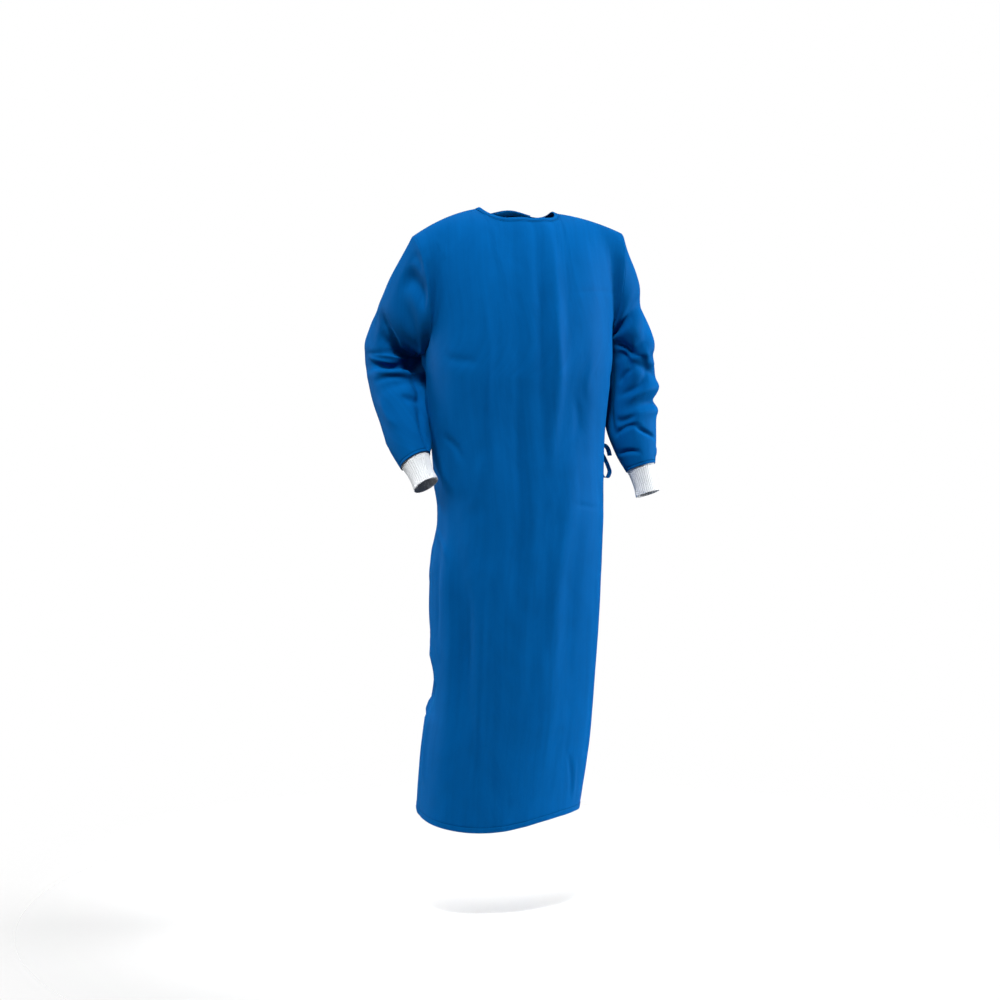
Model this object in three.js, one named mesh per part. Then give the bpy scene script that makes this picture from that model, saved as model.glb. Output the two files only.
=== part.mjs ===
import * as THREE from 'three';

// A worn surgical gown: an empty, open shell of cloth that hangs from the shoulders.
// Millimetres, +Z up, front towards -Y, the gown's own left towards +X.
// The origin is the middle of the neck opening, level with the tops of the shoulder seams.

// Cloth, seams and binding
const CLOTH = 1.2;
const SEAM_GAP = 0.3;
const BINDING = { width: 9, proud: 0.6, thick: 2.4, gap: 0.8 };
const LAP_STAND_OFF = 4;

// Neckline, before the binding, cut out of a shoulder surface that would peak inside the neck
const NECK = { front: 62, back: 60, frontPeak: 17, backPeak: 44, squareness: 2.5 };
const NECK_SHARE = 1 / 3;

// Neck points, shoulder tips and underarm heights, which differ as the gown hangs a little askew
const SHOULDER = {
  right: { sign: -1, neck: 98, top: 4, tipX: 236, tipY: 6, tipZ: -55, underarm: -285 },
  left: { sign: 1, neck: 84, top: -4, tipX: 236, tipY: 6, tipZ: -44, underarm: -270 },
};

// Body sections: centre, half width, and depth in front of and behind the centre
const BODY = [
  { z: -230, cx: 0, cy: 0, half: 206, front: 136, back: 127 },
  { z: -330, cx: -1, cy: 0, half: 203, front: 136, back: 123 },
  { z: -450, cx: -4, cy: 0, half: 193, front: 130, back: 112 },
  { z: -560, cx: -2, cy: 0, half: 186, front: 130, back: 112 },
  { z: -666, cx: 0, cy: 3, half: 184, front: 133, back: 118 },
  { z: -775, cx: -7, cy: 6, half: 187, front: 135, back: 121 },
  { z: -925, cx: -12, cy: 10, half: 182, front: 136, back: 123 },
  { z: -1065, cx: -20, cy: 13, half: 180, front: 136, back: 125 },
  { z: -1162, cx: -29, cy: 15, half: 183, front: 135, back: 128 },
  { z: -1310, cx: -45, cy: 15, half: 177, front: 133, back: 134 },
];
const SQUARENESS = 2.4;
const SIDE_SEAM = 96;
const HEM = { side: -1290, frontDrop: 25, backDrop: 4, lowest: -30 };

// Hang of the cloth from the shoulder to the chest, as shares of its run or as lengths
const HANG = { out: 0.62, drop: 6, chestRise: 130, straighten: 0.9 };
const SHOULDER_ROUND = 0.6;
const ARMHOLE = { reach: 85, under: 95, inset: 4, drop: 12, begins: 0.6, turnsUnder: 0.8 };
const CHEST_DIP = 70;

// Large soft folds of the body: place round the body in degrees from the front, at the top
// and at the foot of the fold, its heights, half width in degrees, and rise (minus: a trough)
const BODY_FOLDS = [
  { turn: -42, footTurn: -52, top: -170, foot: -640, spread: 8, rise: 6 },
  { turn: -22, footTurn: -18, top: -130, foot: -860, spread: 9, rise: -6 },
  { turn: 5, footTurn: 2, top: -110, foot: -470, spread: 6, rise: -4 },
  { turn: 17, footTurn: 14, top: -140, foot: -560, spread: 7, rise: 5 },
  { turn: 50, footTurn: 46, top: -260, foot: -520, spread: 9, rise: 4 },
  { turn: -60, footTurn: -54, top: -700, foot: -1290, spread: 6, rise: -7 },
  { turn: -44, footTurn: -40, top: -720, foot: -1310, spread: 8, rise: 6 },
  { turn: 30, footTurn: 38, top: -640, foot: -1300, spread: 10, rise: -5 },
  { turn: 58, footTurn: 62, top: -600, foot: -1310, spread: 9, rise: 5 },
  { turn: -104, footTurn: -112, top: -590, foot: -720, spread: 14, rise: -9 },
  { turn: -106, footTurn: -100, top: -950, foot: -1090, spread: 15, rise: -17 },
  { turn: 125, footTurn: 120, top: -180, foot: -900, spread: 9, rise: 6 },
  { turn: 150, footTurn: 158, top: -480, foot: -1290, spread: 10, rise: -7 },
  { turn: -150, footTurn: -146, top: -150, foot: -700, spread: 9, rise: -6 },
  { turn: -128, footTurn: -132, top: -420, foot: -1290, spread: 9, rise: 6 },
];

// Free edges of the two back panels, as shares of the half back past its middle
const LAP = { neck: 0.18, chest: 0.4, hem: 0.66, lifts: 0.95, liftsFrom: 0.5, clear: 0.04 };

// Sleeve rings: centre, half size across and front to back, how far the outer and front
// edges stand above the centre, and the number of rings made up to it from the one before
const SLEEVES = {
  right: [
    { x: -246, y: 66, z: -240, across: 36, deep: 66, outerRise: 64, frontRise: -12, rings: 5 },
    { x: -245, y: 128, z: -300, across: 58, deep: 60, outerRise: 4, frontRise: -6, rings: 4 },
    { x: -249, y: 98, z: -362, across: 56, deep: 52, outerRise: -2, frontRise: 14, rings: 4 },
    { x: -254, y: 64, z: -420, across: 45, deep: 42, outerRise: -4, frontRise: 22, rings: 3 },
    { x: -246, y: 26, z: -484, across: 39, deep: 36, outerRise: -8, frontRise: 22, rings: 3 },
    { x: -234, y: -2, z: -528, across: 32, deep: 28, outerRise: -10, frontRise: 20, rings: 3 },
  ],
  left: [
    { x: 259, y: 14, z: -302, across: 48, deep: 62, outerRise: 4, frontRise: 0, rings: 8 },
    { x: 265, y: 10, z: -385, across: 56, deep: 58, outerRise: 0, frontRise: 6, rings: 5 },
    { x: 257, y: -6, z: -450, across: 57, deep: 48, outerRise: 4, frontRise: 12, rings: 4 },
    { x: 261, y: -26, z: -512, across: 45, deep: 38, outerRise: 6, frontRise: 12, rings: 3 },
    { x: 267, y: -40, z: -552, across: 32, deep: 30, outerRise: 7, frontRise: 10, rings: 2 },
  ],
};

// Large folds of the sleeves: place along it (1 is the first ring of its table), half width
// along it, place round it in degrees from the outer side towards the front, half width round
// it, how far it slopes along the sleeve over a quarter turn, and rise (minus: a trough)
const SLEEVE_FOLDS = {
  right: [
    { at: 0.85, width: 0.25, turn: 80, spread: 40, slope: 0.15, rise: -10 },
    { at: 1.75, width: 0.16, turn: 60, spread: 75, slope: 0.45, rise: -9 },
    { at: 2.1, width: 0.16, turn: 70, spread: 90, slope: 0.25, rise: 7 },
    { at: 2.45, width: 0.16, turn: 95, spread: 75, slope: -0.15, rise: -9 },
    { at: 2.85, width: 0.2, turn: 85, spread: 80, slope: 0.1, rise: 5 },
    { at: 3.3, width: 0.22, turn: 110, spread: 60, slope: -0.2, rise: -6 },
    { at: 1.2, width: 0.25, turn: -80, spread: 60, slope: -0.3, rise: -7 },
    { at: 4.2, width: 0.4, turn: -60, spread: 50, slope: 0.3, rise: -4 },
    { at: 3.9, width: 1.2, turn: 170, spread: 55, slope: 0, rise: 20 },
  ],
  left: [
    { at: 0.5, width: 0.4, turn: 0, spread: 70, slope: 0, rise: 11 },
    { at: 0.7, width: 0.13, turn: 40, spread: 70, slope: 0.35, rise: -10 },
    { at: 0.95, width: 0.12, turn: 50, spread: 70, slope: 0.3, rise: 6 },
    { at: 1.4, width: 0.18, turn: 80, spread: 60, slope: -0.45, rise: -8 },
    { at: 1.95, width: 0.2, turn: 40, spread: 70, slope: 0.35, rise: 6 },
    { at: 2.4, width: 0.2, turn: 20, spread: 80, slope: 0.25, rise: -9 },
    { at: 2.8, width: 0.2, turn: 30, spread: 80, slope: 0.2, rise: 4 },
    { at: 1.6, width: 0.25, turn: -80, spread: 60, slope: 0.3, rise: -7 },
  ],
};

// Lengths at a sleeve's two ends, in rings, over which its folds die out
const SLEEVE_HELD = { armhole: 0.3, wrist: 0.6 };

// Knitted cuffs: distance from the sleeve's end and radius of each ring
const CUFF = [
  { along: -7, radius: 0.94 },
  { along: 0, radius: 0.93 },
  { along: 14, radius: 0.84 },
  { along: 38, radius: 0.77 },
  { along: 60, radius: 0.8 },
];
const RIB = { count: 36, height: 0.7, wall: 2.2 };

// Waist tie: a tape tied in a bow at the left side
const TAPE = { width: 12, thick: 1.2, lift: 0.4, tuck: 0.08 };
const BOW = { turn: 98, z: -508, standOff: 9, bandEnd: 1.65, knot: { out: 6, back: 7, up: 7.5 } };

// Bow strands in the knot's own axes: away from the body, towards the back, and up
const STRANDS = {
  tie_loop_front: {
    flat: { out: 0.3, back: -0.95, up: 0 },
    route: [
      { out: 3.4, back: -1.4, up: -6.9 },
      { out: 15, back: -4, up: -26 },
      { out: 25, back: -4, up: -46 },
      { out: 29, back: -3, up: -57 },
      { out: 24, back: -2, up: -68 },
      { out: 14, back: -2, up: -66 },
      { out: 7, back: -3, up: -48 },
      { out: 4, back: -4, up: -26 },
      { out: 0.6, back: -2, up: -8 },
    ],
  },
  tie_loop_back: {
    flat: { out: 0.98, back: 0.2, up: 0 },
    route: [
      { out: 4.2, back: 7.7, up: 3.4 },
      { out: 5, back: 28, up: -1 },
      { out: 5, back: 44, up: -17 },
      { out: 5, back: 53, up: -40 },
      { out: 4, back: 49, up: -52 },
      { out: 4, back: 39, up: -46 },
      { out: 4, back: 26, up: -26 },
      { out: 3.8, back: 8.6, up: -3.6 },
    ],
  },
  tie_end_short: {
    flat: { out: 0.3, back: -0.9, up: 0.3 },
    route: [
      { out: 6.2, back: 0.8, up: 2 },
      { out: 18, back: 2, up: 2 },
      { out: 28, back: 3, up: -7 },
      { out: 33, back: 3, up: -22 },
    ],
  },
  tie_end_long: {
    flat: { out: 0.2, back: 0.98, up: 0 },
    route: [
      { out: -3.4, back: 1.4, up: -7 },
      { out: -4, back: 3, up: -30 },
      { out: -4, back: 5, up: -110 },
      { out: -4, back: 4, up: -190 },
    ],
  },
};

// Back neck tab, laid over the free edge of the upper back panel
const NECK_TAB = { from: 0.34, to: 0.12, top: 0.07, foot: 0.15 };

// Mesh fineness
const YOKE_ROWS = 10;
const SKIRT_ROWS = 18;
const FRONT_COLUMNS = { shoulder: 8, neck: 8 };
const BACK_COLUMNS = { shoulder: 8, lap: 6 };
const STRAND_STEPS = 16;
const KNOT_FACES = { round: 12, across: 8 };
const TAB_STEPS = 6;
const HALVINGS = 40;
const NORMAL_STEP = 0.004;
const FOLDED_BACK = { begins: 1.5, fully: 0.5 };

const point = (x, y, z) => new THREE.Vector3(x, y, z);
const mix = (a, b, t) => a + (b - a) * t;
const radians = (degrees) => (degrees * Math.PI) / 180;
const range = (count) => Array.from({ length: count }, (_, i) => i);

function ease(from, to, value) {
  const t = Math.min(1, Math.max(0, (value - from) / (to - from)));
  return t * t * (3 - 2 * t);
}

// Smooth curve through one column of a table whose rows run down the body
function section(table, column, z) {
  const last = table.length - 1;
  const found = table.findIndex((row, i) => i < last && z >= table[i + 1].z);
  const i = found < 0 ? last - 1 : found;
  const slope = (k) => {
    const a = table[Math.max(0, k - 1)];
    const b = table[Math.min(last, k + 1)];
    return (b[column] - a[column]) / (b.z - a.z);
  };
  const run = table[i + 1].z - table[i].z;
  const t = (z - table[i].z) / run;
  const start = table[i][column] * (1 + 2 * t) * (1 - t) ** 2;
  const end = table[i + 1][column] * (3 - 2 * t) * t ** 2;
  return start + end + run * t * (1 - t) * (slope(i) * (1 - t) - slope(i + 1) * t);
}

// Angle between two places round the body, from -180 to 180 degrees
function turnBetween(a, b) {
  return ((((a - b + 180) % 360) + 360) % 360) - 180;
}

function bodyFold(turn, z) {
  let rise = 0;
  for (const fold of BODY_FOLDS) {
    const share = (fold.top - z) / (fold.top - fold.foot);
    if (share <= 0 || share >= 1) continue;
    const off = turnBetween(turn, mix(fold.turn, fold.footTurn, share)) / fold.spread;
    rise += fold.rise * Math.sin(Math.PI * share) * Math.exp(-off * off);
  }
  return rise;
}

// Outward direction at a place round the body
function outward(turn) {
  return point(Math.sin(radians(turn)), -Math.cos(radians(turn)), 0);
}

function bodyRing(turn, z) {
  const dir = outward(turn);
  const depth = section(BODY, dir.y < 0 ? 'front' : 'back', z);
  const half = section(BODY, 'half', z);
  const across = Math.abs(dir.x / half) ** SQUARENESS + Math.abs(dir.y / depth) ** SQUARENESS;
  const radius = across ** (-1 / SQUARENESS) + bodyFold(turn, z);
  return point(section(BODY, 'cx', z), section(BODY, 'cy', z), z).addScaledVector(dir, radius);
}

const sideOf = (share) => (share < 0 ? SHOULDER.right : SHOULDER.left);

function blendSides(share, key) {
  return mix(SHOULDER.right[key], SHOULDER.left[key], (share + 1) / 2);
}

// Height of the chest line, which dips away from both underarms
function chestHeight(share) {
  return blendSides(share, 'underarm') - CHEST_DIP * (1 - share ** 4);
}

const FACES = {
  front: { dir: -1, neck: NECK.front, peak: NECK.frontPeak, turn: (share) => share * SIDE_SEAM },
  back: { dir: 1, neck: NECK.back, peak: NECK.backPeak, turn: (share) => 180 - share * (180 - SIDE_SEAM) },
};

// Ridge of the shoulders: the shoulder seams, joined across the neck by a smooth peak
function shoulderRidge(face, share) {
  const side = sideOf(share);
  const size = Math.abs(share);
  if (size <= NECK_SHARE) {
    const across = share / NECK_SHARE;
    const tilt = mix(SHOULDER.right.top, SHOULDER.left.top, (across + 1) / 2);
    return point(side.neck * across, 0, tilt + face.peak * (1 - across ** 2) ** 2);
  }
  const t = (size - NECK_SHARE) / (1 - NECK_SHARE);
  const z = side.top + (side.tipZ - side.top) * mix(t, t * t, SHOULDER_ROUND);
  return point(side.sign * mix(side.neck, side.tipX, t), side.tipY * t, z);
}

// Line of the cloth from the ridge to the chest: it falls forward off the shoulder, then
// straight down, and at the arm it curves round the armhole
function hangLine(face, share) {
  const size = Math.abs(share);
  const top = shoulderRidge(face, share);
  const foot = bodyRing(face.turn(share), chestHeight(share));
  const upper = point(top.x, mix(top.y, foot.y, HANG.out), top.z - HANG.drop);
  const chest = blendSides(share, 'underarm') + HANG.chestRise;
  const lower = point(mix(top.x, foot.x, HANG.straighten), foot.y, chest);
  const side = sideOf(share);
  const armUpper = top.clone().add(
    point(-side.sign * ARMHOLE.inset, face.dir * ARMHOLE.reach, -ARMHOLE.drop));
  const armLower = foot.clone().add(point(0, face.dir * ARMHOLE.under, 0));
  upper.lerp(armUpper, ease(ARMHOLE.begins, 1, size));
  lower.lerp(armLower, ease(ARMHOLE.turnsUnder, 1, size));
  return new THREE.CubicBezierCurve3(top, upper, lower, foot);
}

// Where a line of the cloth begins: at the ridge, or at the neckline that cuts it
function neckCut(face, share, line) {
  const across = Math.min(1, Math.abs(share) / NECK_SHARE);
  const reach = face.neck * (1 - across ** NECK.squareness) ** (1 / NECK.squareness);
  let low = 0;
  let high = 1;
  for (let step = 0; step < HALVINGS; step += 1) {
    const middle = (low + high) / 2;
    if (face.dir * line.getPoint(middle).y < reach) low = middle;
    else high = middle;
  }
  return across < 1 ? low : 0;
}

function yoke(face, share, down) {
  const line = hangLine(face, share);
  const place = line.getPoint(mix(neckCut(face, share, line), 1, down));
  const atArm = ease(ARMHOLE.begins, 1, Math.abs(share));
  const fold = bodyFold(face.turn(share), place.z) * (1 - atArm) * (1 - down);
  return place.addScaledVector(outward(face.turn(share)), fold);
}

function hemHeight(turn) {
  const forward = Math.cos(radians(turn - HEM.lowest));
  return HEM.side - (forward > 0 ? HEM.frontDrop : HEM.backDrop) * forward ** 2;
}

// Any place on the front or back: share across from -1 to 1, and down from 0 at the top
// edge through 1 at the chest line to 2 at the hem
function bodyPlace(face, share, down) {
  if (down <= 1) return yoke(face, share, down);
  const turn = face.turn(share);
  return bodyRing(turn, mix(chestHeight(share), hemHeight(turn), down - 1));
}

function bodyNormal(face, share, down) {
  const up = Math.max(0, down - NORMAL_STEP);
  const low = Math.min(2, down + NORMAL_STEP);
  const fall = bodyPlace(face, share, low).sub(bodyPlace(face, share, up));
  const ahead = bodyPlace(face, share + NORMAL_STEP, down);
  const along = ahead.sub(bodyPlace(face, share - NORMAL_STEP, down));
  return fall.cross(along).multiplyScalar(-face.dir).normalize();
}

const DOWNS = [
  ...range(YOKE_ROWS).map((i) => i / YOKE_ROWS),
  ...range(SKIRT_ROWS + 1).map((i) => 1 + i / SKIRT_ROWS),
];

// Columns that begin at the neckline start evenly round it and end evenly across the chest
function neckShares(from, to, count, down) {
  const angle = (share) => Math.asin(share / NECK_SHARE);
  return range(count + 1).map((j) => {
    const round = NECK_SHARE * Math.sin(mix(angle(from), angle(to), j / count));
    return mix(round, mix(from, to, j / count), ease(0, 1, down));
  });
}

function frontGrid() {
  const { shoulder, neck } = FRONT_COLUMNS;
  const beside = range(shoulder).map((j) => mix(1, NECK_SHARE, j / shoulder));
  const row = (down) => [
    ...beside.map((share) => -share),
    ...neckShares(-NECK_SHARE, NECK_SHARE, neck, down),
    ...beside.toReversed(),
  ];
  return DOWNS.map((down) => row(down).map((share) => bodyPlace(FACES.front, share, down)));
}

// How far a back panel reaches past the middle of the back
function lapReach(down) {
  return down < 1 ? mix(LAP.neck, LAP.chest, down) : mix(LAP.chest, LAP.hem, down - 1);
}

// Columns of a back panel from its side seam to its free edge, as shares on the left side
function backShares(down) {
  const { shoulder, lap } = BACK_COLUMNS;
  const upper = neckShares(NECK_SHARE, -LAP.neck, lap, down);
  return [
    ...range(shoulder).map((j) => mix(1, NECK_SHARE, j / shoulder)),
    ...upper.map((share, j) => share - ((lapReach(down) - LAP.neck) * j) / lap),
  ];
}

function backLeftGrid() {
  const row = (down) => backShares(down).map((share) => bodyPlace(FACES.back, share, down));
  return DOWNS.map(row);
}

// The upper panel lifts clear of the lower one between its own seams and that one's free edge
function lapStandOff(share, down) {
  const begins = mix(-NECK_SHARE, -LAP.lifts, ease(0, LAP.liftsFrom, down));
  return LAP_STAND_OFF * ease(begins, -lapReach(down) - LAP.clear, share);
}

function lappedPlace(share, down, extra = 0) {
  const lift = lapStandOff(share, down) + extra;
  const normal = bodyNormal(FACES.back, share, down);
  return bodyPlace(FACES.back, share, down).addScaledVector(normal, lift);
}

function backRightGrid() {
  const row = (down) => backShares(down).map((share) => lappedPlace(-share, down)).reverse();
  return DOWNS.map(row);
}

// Armhole edge of a panel, from the shoulder tip to the underarm
const armholeEdge = (grid, column) => grid.slice(0, YOKE_ROWS + 1).map((row) => row.at(column));

// Points round a sleeve ring, from the underarm, in the same order as the armhole
function sleeveAngles(sign) {
  const count = 2 * YOKE_ROWS;
  return range(count).map((j) => Math.PI - (sign * 2 * Math.PI * j) / count);
}

function ringPoint(ring, sign, angle) {
  const outer = Math.cos(angle);
  const front = Math.sin(angle);
  return point(
    ring.x + sign * ring.across * outer,
    ring.y - ring.deep * front,
    ring.z + ring.outerRise * outer + ring.frontRise * front,
  );
}

function sleeveFold(folds, station, angle) {
  const turn = (angle * 180) / Math.PI;
  let rise = 0;
  for (const fold of folds) {
    const round = turnBetween(turn, fold.turn);
    const along = (station - fold.at - (fold.slope * round) / 90) / fold.width;
    rise += fold.rise * Math.exp(-along * along) * Math.exp(-((round / fold.spread) ** 2));
  }
  return rise;
}

// A sleeve runs from its armhole through the rings of its table, each line a smooth curve
function sleeveGrid(name, armhole) {
  const rings = SLEEVES[name];
  const { sign } = SHOULDER[name];
  const angles = sleeveAngles(sign);
  const lines = angles.map((angle, j) => new THREE.CatmullRomCurve3(
    [armhole[j], ...rings.map((ring) => ringPoint(ring, sign, angle))], false, 'centripetal'));
  const stations = [0];
  rings.forEach((ring, k) => range(ring.rings).forEach((i) => stations.push(k + (i + 1) / ring.rings)));
  const plain = stations.map((s) => lines.map((line) => line.getPoint(s / rings.length)));
  const normals = gridNormals(plain, true);
  return plain.map((row, i) => row.map((place, j) => {
    const atWrist = ease(rings.length - SLEEVE_HELD.wrist, rings.length, stations[i]);
    const held = ease(0, SLEEVE_HELD.armhole, stations[i]) * (1 - atWrist);
    const rise = held * sleeveFold(SLEEVE_FOLDS[name], stations[i], angles[j]);
    return place.clone().addScaledVector(normals[i][j], rise);
  }));
}

// Outward unit normals of a grid whose rows run down and whose columns run anticlockwise
function gridNormals(grid, closed) {
  const lastRow = grid.length - 1;
  const columns = grid[0].length;
  const column = (j) => (closed ? (j + columns) % columns : Math.min(columns - 1, Math.max(0, j)));
  return grid.map((row, i) => row.map((_, j) => {
    const fall = grid[Math.min(lastRow, i + 1)][j].clone().sub(grid[Math.max(0, i - 1)][j]);
    const along = row[column(j + 1)].clone().sub(row[column(j - 1)]);
    return fall.cross(along).normalize();
  }));
}

// In-surface directions away from each edge that a place lies on
function edgeInward(grid, closed, normal, i, j) {
  const lastRow = grid.length - 1;
  const lastColumn = grid[0].length - 1;
  const held = (k) => Math.min(lastColumn, Math.max(0, k));
  const wrap = (k) => (closed ? (k + lastColumn + 1) % (lastColumn + 1) : held(k));
  const inward = point(0, 0, 0);
  const add = (tangent, towards) => {
    const across = normal.clone().cross(tangent).normalize();
    inward.addScaledVector(across, Math.sign(across.dot(towards)));
  };
  if (i === 0 || i === lastRow) {
    const next = grid[i === 0 ? 1 : lastRow - 1][j].clone().sub(grid[i][j]);
    add(grid[i][wrap(j + 1)].clone().sub(grid[i][wrap(j - 1)]), next);
  }
  if (!closed && (j === 0 || j === lastColumn)) {
    const next = grid[i][j === 0 ? 1 : lastColumn - 1].clone().sub(grid[i][j]);
    add(grid[Math.min(lastRow, i + 1)][j].clone().sub(grid[Math.max(0, i - 1)][j]), next);
  }
  return inward;
}

// How far the cloth folds back on itself at a seam, from 0 where it runs on smoothly to 1
function foldedBack(one, other) {
  return 1 - ease(FOLDED_BACK.fully, FOLDED_BACK.begins, one.normal.clone().add(other.normal).length());
}

// Direction that halves the angle of the cloth at a seam, on the gown's outside. Where the
// cloth folds back the two normals cancel, and both panels lead that way instead.
function seamNormal(one, other) {
  const folded = foldedBack(one, other);
  return one.normal.clone().add(other.normal)
    .addScaledVector(one.inward, folded)
    .addScaledVector(other.inward, folded)
    .normalize();
}

function joinedEdges(places) {
  const joined = { normal: point(0, 0, 0), inward: point(0, 0, 0) };
  for (const place of places) {
    joined.normal.add(place.normal);
    joined.inward.add(place.inward);
  }
  joined.normal.normalize();
  joined.inward.normalize();
  return joined;
}

// Parts the panels that share seam points by the seam gap, with one normal for both rims
function openSeams(panels) {
  const seams = new Map();
  for (const panel of panels) {
    panel.normals = gridNormals(panel.grid, panel.closed);
    const lastRow = panel.grid.length - 1;
    const lastColumn = panel.grid[0].length - 1;
    panel.grid.forEach((row, i) => row.forEach((place, j) => {
      const onEdge = i === 0 || i === lastRow || (!panel.closed && (j === 0 || j === lastColumn));
      if (!onEdge) return;
      const key = place.toArray().map((value) => Math.round(value * 100)).join();
      const normal = panel.normals[i][j];
      const inward = edgeInward(panel.grid, panel.closed, normal, i, j);
      seams.set(key, [...(seams.get(key) ?? []), { panel, i, j, normal, inward }]);
    }));
  }
  for (const places of seams.values()) {
    if (places.length < 2) continue;
    const sleeve = places.filter((place) => place.panel.closed);
    const body = places.filter((place) => !place.panel.closed);
    const pair = sleeve.length ? [joinedEdges(body), joinedEdges(sleeve)] : body;
    const shared = seamNormal(pair[0], pair[1]);
    const folded = foldedBack(pair[0], pair[1]);
    for (const { panel, i, j, normal, inward } of places) {
      const apart = inward.addScaledVector(normal, -folded).projectOnPlane(shared).normalize();
      panel.normals[i][j] = shared;
      panel.grid[i][j] = panel.grid[i][j].clone().addScaledVector(apart, SEAM_GAP / 2);
    }
  }
}

// Closed solid between an outer and an inner grid. A four-sided face is split along its
// shorter diagonal, and a rim along the diagonal that leaves more room at the seam.
function shell(outer, inner, closed) {
  const rows = outer.length;
  const columns = outer[0].length;
  const spans = closed ? columns : columns - 1;
  const corners = [...outer.flat(), ...inner.flat()];
  const index = [];
  const at = (layer, i, j) => layer * rows * columns + i * columns + (j % columns);
  const split = (a, b, c, d, alongFirst) => {
    if (alongFirst) index.push(a, b, c, a, c, d);
    else index.push(a, b, d, b, c, d);
  };
  const face = (a, b, c, d) => {
    const first = corners[a].distanceTo(corners[c]);
    split(a, b, c, d, first <= corners[b].distanceTo(corners[d]));
  };
  const rim = (a, b, c, d, inside) => {
    const reach = (p, q) => corners[p].clone().lerp(corners[q], 0.5).distanceTo(corners[inside]);
    split(a, b, c, d, reach(a, c) <= reach(b, d));
  };
  for (let i = 0; i < rows - 1; i += 1) {
    for (let j = 0; j < spans; j += 1) {
      face(at(0, i, j), at(0, i + 1, j), at(0, i + 1, j + 1), at(0, i, j + 1));
      face(at(1, i, j), at(1, i, j + 1), at(1, i + 1, j + 1), at(1, i + 1, j));
    }
  }
  const low = rows - 1;
  for (let j = 0; j < spans; j += 1) {
    rim(at(0, 0, j), at(0, 0, j + 1), at(1, 0, j + 1), at(1, 0, j), at(0, 1, j));
    rim(at(0, low, j), at(1, low, j), at(1, low, j + 1), at(0, low, j + 1), at(0, low - 1, j));
  }
  if (!closed) {
    const end = columns - 1;
    for (let i = 0; i < low; i += 1) {
      rim(at(0, i, 0), at(1, i, 0), at(1, i + 1, 0), at(0, i + 1, 0), at(0, i, 1));
      rim(at(0, i, end), at(0, i + 1, end), at(1, i + 1, end), at(1, i, end), at(0, i, end - 1));
    }
  }
  const geometry = new THREE.BufferGeometry();
  const positions = corners.flatMap((place) => place.toArray());
  geometry.setAttribute('position', new THREE.Float32BufferAttribute(positions, 3));
  geometry.setIndex(index);
  geometry.computeVertexNormals();
  return geometry;
}

function wall(grid, normals, thick, closed) {
  const inside = (place, normal) => place.clone().addScaledVector(normal, -thick);
  const inner = grid.map((row, i) => row.map((place, j) => inside(place, normals[i][j])));
  return shell(grid, inner, closed);
}

// Neck binding: the neck edges of the panels, carried on past the cloth
function bindingGeometry(edges) {
  const last = edges.length - 1;
  const rise = [1, 0.5, 0].map((share) => BINDING.gap + share * BINDING.width);
  const proud = [0.5, 1, 0.5].map((share) => share * BINDING.proud);
  const grid = rise.map((up, k) => edges.map(({ place, normal }, j) => {
    const along = edges[Math.min(last, j + 1)].place.clone().sub(edges[Math.max(0, j - 1)].place);
    const towardsNeck = normal.clone().cross(along).normalize();
    return place.clone().addScaledVector(towardsNeck, up).addScaledVector(normal, proud[k]);
  }));
  const normals = rise.map(() => edges.map(({ normal }) => normal));
  return wall(grid, normals, BINDING.thick, false);
}

const neckEdge = (panel, columns) => columns.map(
  (j) => ({ place: panel.grid[0][j], normal: panel.normals[0][j] }));

// Knitted cuff: rings parallel to the sleeve's end, ribbed outside and plain inside
function cuffGeometry(name) {
  const rings = SLEEVES[name];
  const end = rings.at(-1);
  const before = rings.at(-2);
  const { sign } = SHOULDER[name];
  const axis = point(end.x - before.x, end.y - before.y, end.z - before.z).normalize();
  const count = 2 * RIB.count;
  const ringAt = ({ along, radius }, inset) => range(count).map((j) => {
    const angle = Math.PI - (sign * 2 * Math.PI * j) / count;
    const middle = point(end.x, end.y, end.z).addScaledVector(axis, along);
    const spoke = ringPoint(end, sign, angle).sub(point(end.x, end.y, end.z));
    const length = radius * spoke.length() - inset(j);
    return middle.addScaledVector(spoke.normalize(), length);
  });
  const outer = CUFF.map((ring) => ringAt(ring, (j) => (j % 2) * RIB.height));
  const inner = CUFF.map((ring) => ringAt(ring, () => RIB.wall));
  return shell(outer, inner, true);
}

// Flat tape along a smooth route, its width along one given direction
function tapeGeometry(route, flat) {
  const curve = new THREE.CatmullRomCurve3(route, false, 'centripetal');
  const grid = range(STRAND_STEPS + 1).map((i) => {
    const middle = curve.getPoint(i / STRAND_STEPS);
    const tangent = curve.getTangent(i / STRAND_STEPS);
    const across = flat.clone().addScaledVector(tangent, -flat.dot(tangent)).normalize();
    return [-0.5, 0.5].map((side) => middle.clone().addScaledVector(across, side * TAPE.width));
  });
  return wall(grid, gridNormals(grid, false), TAPE.thick, false);
}

const bowMiddle = bodyRing(BOW.turn, BOW.z).addScaledVector(outward(BOW.turn), BOW.standOff);
const bowAxes = { out: outward(BOW.turn), back: outward(BOW.turn + 90), up: point(0, 0, 1) };

function inBow({ out, back, up }) {
  return point(0, 0, 0)
    .addScaledVector(bowAxes.out, out)
    .addScaledVector(bowAxes.back, back)
    .addScaledVector(bowAxes.up, up);
}

function strandGeometry({ flat, route }) {
  return tapeGeometry(route.map((place) => inBow(place).add(bowMiddle)), inBow(flat));
}

function knotGeometry() {
  const { out, back, up } = BOW.knot;
  const turned = new THREE.Matrix4().makeBasis(bowAxes.out, bowAxes.back, bowAxes.up);
  return new THREE.SphereGeometry(1, KNOT_FACES.round, KNOT_FACES.across).scale(out, back, up)
    .applyMatrix4(turned)
    .translate(bowMiddle.x, bowMiddle.y, bowMiddle.z);
}

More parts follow.
